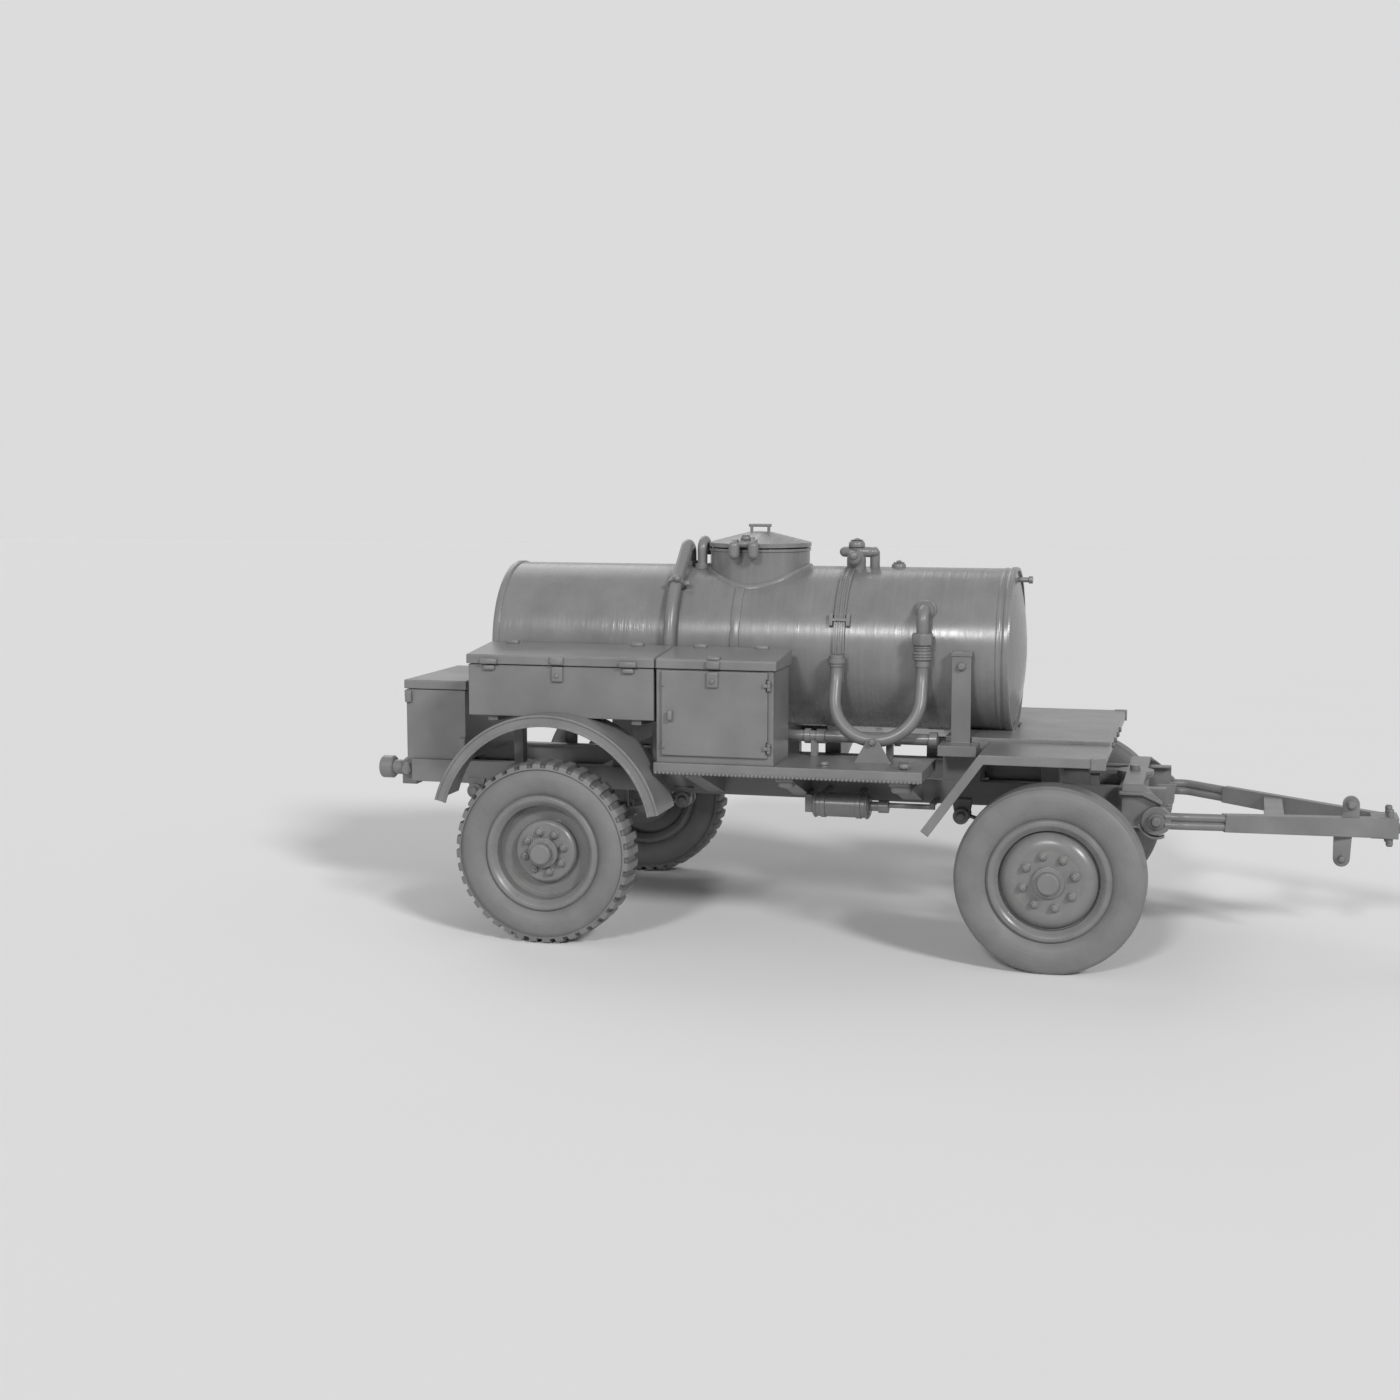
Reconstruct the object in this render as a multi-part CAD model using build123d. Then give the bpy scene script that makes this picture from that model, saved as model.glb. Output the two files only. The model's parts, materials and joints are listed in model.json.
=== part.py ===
from build123d import *
import os
from math import asin, cos, degrees, radians, sin, sqrt, tan

# Millimetres. x runs forward from the rear axle, y to the left and z up from the ground;
# every piece is written with x moved so that the frame's origin is midway along the trailer.

# Overall layout
WHEELBASE = 2510
REAR_END = -1173
RUN_GAP = 0.4
MOVE_GAP = 5

# Wheels and tyres
TYRE_Y = 933
TYRE_HALF = 100
REAR_TYRE_R = 460
FRONT_TYRE_R = 450
LUGS = 40
LUG_HEIGHT = 19
LUG_ROOT = 7
RIM_R = 254
RIM_FLANGE_R = 293
SPINDLE_R = 30
HUB_CAP_R = 54

# Chassis rails
RAIL_OUT = 400
RAIL_IN = 340
RAIL_Z = (695, 815)
RAIL_WALL = 9
CARRIER_X = WHEELBASE + 340
RAIL_X = (-950, CARRIER_X + 170)
CROSS_MEMBERS = (
    # x from, x to
    (-935, -875),
    (90, 150),
    (1170, 1230),
    (WHEELBASE - 525, WHEELBASE - 465),
    (WHEELBASE - 110, WHEELBASE - 50),
    (CARRIER_X - 60, CARRIER_X + 60),
)

# Axles and springs
AXLE_R = 40
SPRING_Y = (345, 395)
SPRINGS = (
    # node, axle x, axle z, half length, eye z, leaves
    ("rear_springs", 0, REAR_TYRE_R, 575, 662, 7),
    ("front_springs", WHEELBASE, FRONT_TYRE_R, 490, 640, 6),
)
LEAF = 10
PAD = 15
SPRING_EYE_R = 24
SPRING_PIN_R = 14

# Steering
KING_PIN_Y = 750
KING_PIN_R = 20
STEER_ARM = 200
ARM_Z = (380, 400)
TRACK_ROD_Z = (406, 426)
DRAG_LINK_Z = (350, 374)
LINK_PIN_R = 12
CARRIER_PIN_R = 26
CARRIER_PLATE_Y = (490, 510)
CARRIER_PLATE_Z = (825, 845)

# Drawbar
BAR_PIVOT_X = CARRIER_X + 130
BAR_PIVOT_Z = 680
BAR_PIN_R = 24
BAR_EYE_Y = (516, 552)
BAR_EYE_R = 70
BAR_KNEE_X = BAR_PIVOT_X + 120
BAR_NOSE = (BAR_PIVOT_X + 1090, 62, 612)
BAR_SPLIT = 0.2
BAR_TUBE_R = 21
EYE_X = BAR_NOSE[0] + 230
EYE_OUTER_R = 75
EYE_HOLE_R = 38
EYE_THICK = 40
EYE_Z = 600
MID_X = (REAR_END + EYE_X + EYE_OUTER_R) / 2

# Tank
TANK_R = 421
TANK_BOTTOM = 1020
TANK_Z = TANK_BOTTOM + TANK_R
TANK_TOP = TANK_Z + TANK_R
TANK_X = (-452, WHEELBASE - 286)
DOME = 60
BANDS = (
    # x, half width, height over the tank
    (TANK_X[0], 18, 8),
    (843, 12, 4),
    (TANK_X[1] - 40, 10, 4),
    (TANK_X[1], 18, 8),
)
PLUG_X = 1623

# Manhole
MANHOLE_X = 882
COLLAR_R = 263
COLLAR_WALL = 14
COLLAR_TOP = TANK_TOP + 93
NECK_DEPTH = 162
LID_GAP = 7
LID_RIM = 22
LID_RISE = 58
LID_SHEET = 12
LID_SIDE = 8
LID_BOTTOM = COLLAR_TOP + LID_GAP
EAR_R = 24
EAR_X = (MANHOLE_X - 66, MANHOLE_X + 35)
EAR_HALF = 15
LID_PIN_R = 8
LID_PIN_Y = -COLLAR_R - 29
LID_PIN_Z = LID_BOTTOM + LID_RIM + 1

# Side lockers, cabinets and running boards
SIDE_Y = 861
BACK_Y = TANK_R + 94
WALL = 6
LOCKER_X = (-436, 540)
LOCKER_Z = (1128, 1387)
CABINET_X = (556, 1150)
BOARD_Z = 922
LID_EDGE_Z = LOCKER_Z[1] + MOVE_GAP
LID_FRONT_Z = LID_EDGE_Z + 47
LID_BACK_Z = LID_EDGE_Z + 80
LID_LIP = 12
LID_ROUND = 9
LID_HINGE_Y = BACK_Y - 13
LID_HINGE_Z = LID_BACK_Z - 6
LID_KNUCKLE_R = 9
HINGE_PIN_R = 5
DOOR_X = (586, 1123)
DOOR_Z = (961, 1383)
DOOR_Y = (SIDE_Y + 7, SIDE_Y + 17)
DOOR_HINGE = (DOOR_X[1] + 8, DOOR_Y[1] + 6)
DOOR_PIN_R = 4.5
DOOR_HINGES = (1010, 1320)
BOARD_X = (545, WHEELBASE - 624)
BOARD_Y = (420, 884)
BOARD_EDGE = 54
BOARD_ARMS = (
    # x from, x to
    (700, 790),
    (1161, 1247),
    (BOARD_X[1] - 164, BOARD_X[1] - 64),
)
LOCKER_ARMS = (-340, 420)
LOCKER_ARM_WIDE = 50

# Rear locker and outlet
REAR_LOCKER_X = (-981, -645)
REAR_LOCKER_Y = 380
REAR_LOCKER_Z = (RAIL_Z[1], 1190)
REAR_LID_Z = (REAR_LOCKER_Z[1] + MOVE_GAP, REAR_LOCKER_Z[1] + 53)
REAR_HINGE = (REAR_LOCKER_X[1] + 18, REAR_LID_Z[1] - 10)
OUTLET_Y = -270
OUTLET_Z = 747

# Rear mudguards
GUARD_CENTRE = (20, 555)
GUARD_R = 600
GUARD_SHEET = 6
GUARD_SKIRT = 55
GUARD_Y = (720, 1024)
GUARD_ANGLES = (12, 165)

# Front deck
DECK_X = (WHEELBASE - 570, WHEELBASE + 240)
DECK_Y = 470
DECK_Z = (1030, 1046)
DECK_LIP = 45
WING_Y = 963
WING_Z = 1030
WING_X = (WHEELBASE - 345, WHEELBASE + 240)
FLAP_TIP = (WHEELBASE - 617, 652)
WING_EDGE = 45
BEAM_X = (WHEELBASE - 590, WHEELBASE - 400)
BEAM_Z = (965, 1018)
POST_X = (WHEELBASE - 541, WHEELBASE - 445)
POST_Y = (TANK_R + 43, TANK_R + 57)
POST_TOP = TANK_Z + 30

# Pipes and hose
VENT_X = 508
VENT_R = 32
BREATHER_X = 592
VALVE_X = 1409
VALVE_Y = -50
HOSE_R = 32
HOSE_X = (WHEELBASE - 1123, WHEELBASE - 690)
HOSE_Y = -TANK_R - 54
HOSE_U_R = 216
HOSE_TILT = 22
HOSE_BOTTOM = (HOSE_Y - 125, 1030)
HOSE_TOP_Z = 1400
MANIFOLD_Y = -456
MANIFOLD_Z = 1024
MANIFOLD_R = 29
MANIFOLD_END = WHEELBASE - 610

# Brake reservoir
RESERVOIR_X = (1287, 1583)
RESERVOIR_Y = -550
RESERVOIR_Z = 692
RESERVOIR_R = 61
RESERVOIR_PIPE_END = 1905


def block(x, y, z):
    """Box between two values on each axis."""
    size = [abs(v[1] - v[0]) for v in (x, y, z)]
    middle = [(v[0] + v[1]) / 2 for v in (x, y, z)]
    return Pos(*middle) * Box(*size)


def rod_x(x, y, z, r):
    """Round bar along x."""
    return Pos((x[0] + x[1]) / 2, y, z) * Rot(0, 90, 0) * Cylinder(r, abs(x[1] - x[0]))


def rod_y(x, y, z, r):
    """Round bar along y."""
    return Pos(x, (y[0] + y[1]) / 2, z) * Rot(90, 0, 0) * Cylinder(r, abs(y[1] - y[0]))


def rod_z(x, y, z, r):
    """Round bar along z."""
    return Pos(x, y, (z[0] + z[1]) / 2) * Cylinder(r, z[1] - z[0])


def bar(a, b, r):
    """Round bar between two points."""
    way = Vector(*b) - Vector(*a)
    return extrude(Plane(a, z_dir=way) * Circle(r), amount=way.length)


def outline(start, *steps):
    """Closed face of lines and arcs; a step is an end point, or a middle and an end point."""
    edges = []
    here = start
    for step in steps:
        if isinstance(step[0], tuple):
            edges.append(ThreePointArc(here, step[0], step[1]))
            here = step[1]
        else:
            edges.append(Line(here, step))
            here = step
    edges.append(Line(here, start))
    return make_face(edges)


def slab_x(face, x):
    """Extrude a y-z face along x."""
    plane = Plane((x[0], 0, 0), x_dir=(0, 1, 0), z_dir=(1, 0, 0))
    return extrude(plane * face, amount=x[1] - x[0], dir=(1, 0, 0))


def slab_y(face, y):
    """Extrude an x-z face along y."""
    plane = Plane((0, y[0], 0), x_dir=(1, 0, 0), z_dir=(0, -1, 0))
    return extrude(plane * face, amount=y[1] - y[0], dir=(0, 1, 0))


def poly(*points):
    """Straight-sided face."""
    return Polygon(*points, align=None)


def turn_y(face):
    """Turn a profile of (radius, y) about the y axis."""
    return revolve(face, Axis.Y)


def turn_z(face, x, y):
    """Turn a profile of (radius, z) about an upright axis."""
    return Pos(x, y, 0) * revolve(Plane.XZ * face, Axis.Z)


def turn_x(face, y, z):
    """Turn a profile of (x, radius) about a lengthwise axis."""
    return Pos(0, y, z) * revolve(face, Axis.X)


def sector(centre, r, angles):
    """Face of part of a ring."""
    middle = (angles[0] + angles[1]) / 2

    def at(radius, angle):
        return (centre[0] + radius * cos(radians(angle)), centre[1] + radius * sin(radians(angle)))

    return outline(
        at(r[0], angles[0]),
        (at(r[0], middle), at(r[0], angles[1])),
        at(r[1], angles[1]),
        (at(r[1], middle), at(r[1], angles[0])),
    )


def tube(points, bends, r):
    """Round tube along straight runs joined by tangent arcs."""
    corners = [Vector(*p) for p in points]
    edges = []
    here = corners[0]
    for before, corner, after, bend in zip(corners, corners[1:], corners[2:], bends):
        d1 = (corner - before).normalized()
        d2 = (after - corner).normalized()
        turn = radians(d1.get_angle(d2))
        reach = bend * tan(turn / 2)
        inward = (d2 - d1).normalized()
        start = corner - d1 * reach
        end = corner + d2 * reach
        middle = corner + inward * (bend / cos(turn / 2) - bend)
        if (start - here).length > 0.01:
            edges.append(Line(here, start))
        edges.append(ThreePointArc(start, middle, end))
        here = end
    edges.append(Line(here, corners[-1]))
    path = Wire(edges)
    return sweep(Plane(path @ 0, z_dir=path % 0) * Circle(r), path)


def fuse(*pieces):
    """One solid from touching pieces."""
    whole = pieces[0]
    for piece in pieces[1:]:
        whole = whole + piece
    return whole


def left(shape):
    """The same piece on the other side."""
    return mirror(shape, about=Plane.XZ)


def write(name, *shapes):
    """Write one node."""
    solids = [Pos(-MID_X, 0, 0) * solid for shape in shapes for solid in shape.solids()]
    whole = solids[0] if len(solids) == 1 else Compound(solids)
    export_step(whole, f"parts/{name}.step")


def tank_cut(grow, x=(REAR_END, EYE_X)):
    """Cylinder round the tank."""
    return rod_x(x, 0, TANK_Z, TANK_R + grow)


def neck_cut(r):
    """Upright cylinder through the manhole."""
    return rod_z(MANHOLE_X, 0, (TANK_Z, COLLAR_TOP + 200), r)


def make_tank():
    x0, x1 = TANK_X
    dome_r = (TANK_R ** 2 + DOME ** 2) / (2 * DOME)
    half = asin(TANK_R / dome_r) / 2
    rise = dome_r * cos(half) - (dome_r - DOME)
    mid_r = dome_r * sin(half)
    body = outline(
        (x0 - DOME, 0),
        ((x0 - rise, mid_r), (x0, TANK_R)),
        (x1, TANK_R),
        ((x1 + rise, mid_r), (x1 + DOME, 0)),
    )
    tank = turn_x(body, 0, TANK_Z)
    for x, half_width, height in BANDS:
        section = poly(
            (x - half_width, TANK_R - 10),
            (x - half_width, TANK_R + height / 2),
            (x - half_width / 2, TANK_R + height),
            (x + half_width / 2, TANK_R + height),
            (x + half_width, TANK_R + height / 2),
            (x + half_width, TANK_R - 10),
        )
        tank += turn_x(section, 0, TANK_Z) - neck_cut(COLLAR_R + 1)
    tank -= rod_z(MANHOLE_X, 0, (TANK_TOP - NECK_DEPTH, TANK_TOP + 50), COLLAR_R - COLLAR_WALL)
    stub_z = TANK_Z + TANK_R - 57
    stub = rod_x((x1, x1 + 84), 0, stub_z, 13) + rod_x((x1 + 70, x1 + 90), 0, stub_z, 19)
    plug = turn_z(
        poly(
            (0, TANK_TOP - 15), (30, TANK_TOP - 15), (30, TANK_TOP + 12),
            (13, TANK_TOP + 20), (13, TANK_TOP + 32), (0, TANK_TOP + 37),
        ),
        PLUG_X, 0)
    write("tank", fuse(tank, stub, plug))


def make_manhole():
    y, z = LID_PIN_Y, LID_PIN_Z
    inner = COLLAR_R - COLLAR_WALL
    collar = rod_z(MANHOLE_X, 0, (TANK_TOP - 122, COLLAR_TOP), COLLAR_R)
    collar += rod_z(MANHOLE_X, 0, (COLLAR_TOP - 14, COLLAR_TOP), COLLAR_R + 6)
    collar = collar - neck_cut(inner) - tank_cut(RUN_GAP)
    for x in EAR_X:
        wide = (x - EAR_HALF, x + EAR_HALF)
        ear = slab_x(poly((-230, z - 85), (y - EAR_R, z - 35), (y - EAR_R, z), (-230, z)), wide)
        ear = ear + rod_x(wide, y, z, EAR_R) - neck_cut(inner + 8)
        collar += ear - block((x - 20, x + 20), (y + 16, 0), (COLLAR_TOP, z + 60))
    collar += rod_x(EAR_X, y, z, LID_PIN_R)
    write("manhole_collar", collar)

    rim = COLLAR_R + LID_SIDE
    low, edge, top = LID_BOTTOM, LID_BOTTOM + LID_RIM, LID_BOTTOM + LID_RIM + LID_RISE
    lid = turn_z(
        poly(
            (rim, low), (rim, edge), (60, top - 4), (0, top), (0, top - LID_SHEET),
            (60, top - LID_SHEET - 4), (rim - 16, edge - 9), (rim - 16, low),
        ),
        MANHOLE_X, 0)
    strap_x = (EAR_X[0] + EAR_HALF + MOVE_GAP, EAR_X[1] - EAR_HALF - MOVE_GAP)
    strap = slab_x(poly((-190, z + 15), (-190, z + 31), (y, z + 18), (y, z), (-240, z - 3)), strap_x)
    lid += strap + rod_x(strap_x, y, z, 18)
    for x in EAR_X:
        reach = EAR_HALF + MOVE_GAP
        lid -= rod_x((x - reach, x + reach), y, z, EAR_R + MOVE_GAP)
    lid -= rod_x(EAR_X, y, z, LID_PIN_R + RUN_GAP)
    for x in (-46, 46):
        lid += rod_z(MANHOLE_X + x, 0, (top - 20, top + 30), 8)
    lid += rod_x((MANHOLE_X - 60, MANHOLE_X + 60), 0, top + 30, 8)
    write("manhole_lid", lid)


def make_tank_supports():
    pieces = []
    for x in ((180, 290), (920, 1030)):
        saddle = block(x, (-390, 390), (RAIL_Z[1], TANK_BOTTOM + 160)) - tank_cut(RUN_GAP)
        saddle -= block(x, (10 - RAIL_IN, RAIL_IN - 10), (RAIL_Z[1], TANK_BOTTOM - 90))
        pieces.append(saddle)
    beam = block(BEAM_X, (-600, 600), BEAM_Z)
    for side in (-1, 1):
        beam += block(BEAM_X, (side * RAIL_IN, side * RAIL_OUT), (RAIL_Z[1], BEAM_Z[0]))
        beam += block(POST_X, (side * POST_Y[0], side * POST_Y[1]), (BEAM_Z[1], POST_TOP))
        cap_x = (POST_X[0] - 4, POST_X[1] + 4)
        beam += block(cap_x, (side * 300, side * (POST_Y[1] + 4)), (POST_TOP - 22, POST_TOP))
    pieces.append(beam - tank_cut(RUN_GAP))
    write("tank_supports", *pieces)


def make_pipes():
    grip = TANK_R + VENT_R + 6
    lean = radians(130)
    start = (grip * cos(lean), TANK_Z + grip * sin(lean))
    run = (sin(lean), -cos(lean))
    corner_z = start[1] - (start[0] + grip) / run[0] * run[1]
    peak = TANK_TOP + 158
    peak_y = start[0] + run[0] * (peak - start[1]) / run[1]
    foot_z = MANIFOLD_Z + 36
    vent = tube(
        (
            (VENT_X, -grip, foot_z), (VENT_X, -grip, corner_z),
            (VENT_X, peak_y, peak), (VENT_X, peak_y, TANK_TOP - 32),
        ),
        (grip, 48), VENT_R)
    clamp_at = radians(133)
    clamp = Pos(VENT_X, grip * cos(clamp_at), TANK_Z + grip * sin(clamp_at)) * Rot(133, 0, 0)
    vent += clamp * Cylinder(VENT_R + 11, 24)
    vent += rod_z(VENT_X, peak_y, (TANK_TOP - 42, TANK_TOP + 22), VENT_R + 12)
    breather = tube(
        (
            (BREATHER_X, -96, TANK_TOP - 62), (BREATHER_X, -96, TANK_TOP + 128),
            (BREATHER_X, 4, TANK_TOP + 128), (BREATHER_X, 4, TANK_TOP + 53),
        ),
        (49, 49), 26)
    breather += rod_z(BREATHER_X, -96, (TANK_TOP - 62, TANK_TOP + 10), 38)
    write("vent_pipes", vent - tank_cut(RUN_GAP), breather - tank_cut(RUN_GAP))

    manifold = rod_x((VENT_X, MANIFOLD_END), MANIFOLD_Y, MANIFOLD_Z, MANIFOLD_R)
    collars = ((560, 20, 10), (1240, 14, 9), (1310, 22, 8), (1700, 14, 9), (MANIFOLD_END - 20, 20, 10))
    for x, half, grow in collars:
        manifold += rod_x((x - half, x + half), MANIFOLD_Y, MANIFOLD_Z, MANIFOLD_R + grow)
    for x in (700, 1275, 1660):
        foot_y = (MANIFOLD_Y - 22, MANIFOLD_Y + 22)
        manifold += block((x - 16, x + 16), foot_y, (BOARD_Z, MANIFOLD_Z - 10))
    manifold += Pos(VENT_X, MANIFOLD_Y, MANIFOLD_Z) * Sphere(MANIFOLD_R + 7)
    manifold += rod_z(VENT_X, MANIFOLD_Y, (MANIFOLD_Z, foot_z - 1), 38)
    write("manifold_pipe", manifold)

    x, y, top = VALVE_X, VALVE_Y, TANK_TOP
    valve = rod_z(x, y, (top - 40, top + 53), 26)
    for low, high, r in ((34, 48, 40), (53, 128, 18), (110, 136, 32)):
        valve += rod_z(x, y, (top + low, top + high), r)
    valve += rod_x((x - 62, x + 62), y, top + 88, 17)
    valve += rod_y(x, (y - 100, y), top + 63, 11) + Pos(x, y - 100, top + 63) * Sphere(26)
    valve += tube(
        (
            (x + 62, y, top + 88), (x + 84, y, top + 88),
            (x + 84, y + 110, top + 88), (x + 84, y + 110, top - 12),
        ),
        (20, 40), 15)
    write("top_valve", valve - tank_cut(RUN_GAP))


def make_hose():
    x0, x1 = HOSE_X
    bottom_y, bottom_z = HOSE_BOTTOM
    knee_z = bottom_z + (HOSE_Y - bottom_y) / tan(radians(HOSE_TILT))
    hose = tube(
        (
            (x0, HOSE_Y, HOSE_TOP_Z), (x0, HOSE_Y, knee_z), (x0, bottom_y, bottom_z),
            (x1, bottom_y, bottom_z), (x1, HOSE_Y, knee_z), (x1, HOSE_Y, HOSE_TOP_Z),
        ),
        (200, HOSE_U_R, HOSE_U_R, 200), HOSE_R)
    for low, high, grow in ((1392, 1426, 5), (1426, 1470, 12), (1470, 1500, 7), (1500, 1560, 15)):
        hose += rod_z(x1, HOSE_Y, (low, high), HOSE_R + grow)
    flange_y = HOSE_Y + 145
    hose += tube(((x1, HOSE_Y, 1540), (x1, HOSE_Y, 1668), (x1, flange_y, 1668)), (58,), 30)
    hose += rod_y(x1, (flange_y - 70, flange_y), 1668, 44)
    ferrule = HOSE_R + 7
    hose += rod_z(x0, HOSE_Y, (1385, 1440), ferrule)
    write("delivery_hose", hose - tank_cut(RUN_GAP))

    r0 = TANK_R + RUN_GAP
    strap_x = (x0 - 30, x0 + 30)
    strap = slab_x(sector((0, TANK_Z), (r0, r0 + 9), (104, 180)), strap_x)
    for shift in (-24, 0, 24):
        rib_x = (x0 + shift - 5, x0 + shift + 5)
        strap += slab_x(sector((0, TANK_Z), (r0 + 8, r0 + 14), (104, 180)), rib_x)
    strap += block(strap_x, (-r0 - 9, -r0), (1300, TANK_Z))
    strap += rod_z(x0, HOSE_Y, (1400, 1424), ferrule + 6)
    strap += block((x0 - 16, x0 + 16), (HOSE_Y, -r0), (1400, 1424))
    strap -= rod_z(x0, HOSE_Y, (1300, 1500), ferrule + RUN_GAP)
    clamp_at = radians(157)
    place = Pos(x0, (r0 + 14) * cos(clamp_at), TANK_Z + (r0 + 14) * sin(clamp_at)) * Rot(157, 0, 0)
    strap += place * Box(104, 16, 16)
    for shift in (-44, 44):
        strap += place * Pos(shift, 0, 0) * Box(18, 22, 66)
    write("hose_strap", strap - tank_cut(RUN_GAP))

    plate_y = (bottom_y - HOSE_R - 14, bottom_y - HOSE_R - 4)
    middle = (x0 + x1) / 2
    side = poly((middle - 92, BOARD_Z), (middle - 26, 1042), (middle + 26, 1042), (middle + 92, BOARD_Z))
    bracket = slab_y(side, plate_y)
    bracket += block((middle - 92, middle + 92), (plate_y[0], plate_y[0] + 70), (BOARD_Z, BOARD_Z + 8))
    bracket += rod_y(middle, (plate_y[0] - 12, bottom_y - HOSE_R - 1), bottom_z, 16)
    write("hose_bracket", bracket)


def make_boards():
    y0, y1 = BOARD_Y
    under = BOARD_Z - WALL
    board = block(BOARD_X, (-y1, -y0), (BOARD_Z - BOARD_EDGE, BOARD_Z))
    board -= block((BOARD_X[0] + WALL, BOARD_X[1] - WALL), (-y1 + WALL, 0), (0, under))
    for x in (BOARD_X[1] - 495, BOARD_X[1] - 99):
        board += rod_z(x, -y1 + 84, (BOARD_Z, BOARD_Z + 16), 17)
    write("running_boards", board, left(board))
    arms = []
    low = RAIL_Z[0] + 10
    for x in BOARD_ARMS:
        edge = -y1 + 24
        side = poly((-RAIL_OUT, low), (-RAIL_OUT, under), (edge, under), (edge, under - 66), (-700, 800))
        arms.append(slab_x(side, x))
    for x in LOCKER_ARMS:
        top = LOCKER_Z[0]
        side = poly(
            (-RAIL_OUT, low), (-RAIL_OUT, top), (-840, top),
            (-840, top - 28), (-470, top - 43), (-450, low),
        )
        arms.append(slab_x(side, (x, x + LOCKER_ARM_WIDE)))
    write("outriggers", *arms, *[left(arm) for arm in arms])


def shell(x, y, z, wall):
    """Open-topped box."""
    inner = block((x[0] + wall, x[1] - wall), (y[0] + wall, y[1] - wall), (z[0] + wall, z[1] + 10))
    return block(x, y, z) - inner


def side_lid(x, hinges, hasp_x, catches):
    """Sloping lid of a side box with its hinge barrels and fastenings."""
    front, back = -SIDE_Y - LID_LIP, -BACK_Y
    side = poly((front, LID_EDGE_Z), (front, LID_FRONT_Z), (back, LID_BACK_Z), (back, LID_EDGE_Z))
    lid = slab_x(side, x)
    corners = lid.edges().filter_by(lambda e: e.center().Y < back - 1 and e.center().Z > LID_EDGE_Z + 1)
    lid = fillet(corners, LID_ROUND)
    hollow = poly(
        (front + WALL, LID_EDGE_Z - 1), (front + WALL, LID_FRONT_Z - WALL),
        (back - WALL, LID_BACK_Z - WALL), (back - WALL, LID_EDGE_Z - 1),
    )
    lid -= slab_x(hollow, (x[0] + WALL, x[1] - WALL))
    for centre in hinges:
        wide = (centre - 22, centre + 22)
        lid += rod_x(wide, -LID_HINGE_Y, LID_HINGE_Z, LID_KNUCKLE_R)
        lid += block(wide, (back - 30, -LID_HINGE_Y), (LID_HINGE_Z + 1, LID_HINGE_Z + LID_KNUCKLE_R))
        lid -= rod_x((centre - 60, centre + 60), -LID_HINGE_Y, LID_HINGE_Z, HINGE_PIN_R + RUN_GAP)
    lid += block((hasp_x - 22, hasp_x + 22), (front - 9, front + 2), (LID_EDGE_Z + 4, LID_FRONT_Z - 4))
    for centre in catches:
        lid += block((centre - 26, centre + 26), (front - 15, front + 2), (LID_EDGE_Z + 3, LID_EDGE_Z + 24))
    return lid


def hinge_posts(hinges):
    """Fixed half of the hinges behind a side box: straps, knuckles and pin."""
    posts = []
    for centre in hinges:
        post = rod_x((centre - 40, centre + 40), -LID_HINGE_Y, LID_HINGE_Z, HINGE_PIN_R)
        for low in (centre - 42, centre + 24):
            x = (low, low + 18)
            post += block(x, (-LID_HINGE_Y - 6, -LID_HINGE_Y), (LID_HINGE_Z - 130, LID_HINGE_Z))
            post += block(x, (-BACK_Y, -LID_HINGE_Y), (LID_HINGE_Z - 130, LOCKER_Z[1]))
            post += rod_x(x, -LID_HINGE_Y, LID_HINGE_Z, LID_KNUCKLE_R)
        posts.append(post)
    return posts


def tongue(x, top, y, long):
    """Hanging tongue of a hasp."""
    waist = top - long * 0.7
    side = poly((x - 19, top), (x + 19, top), (x + 16, waist), (x, top - long), (x - 16, waist))
    return slab_y(side, y)


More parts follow.
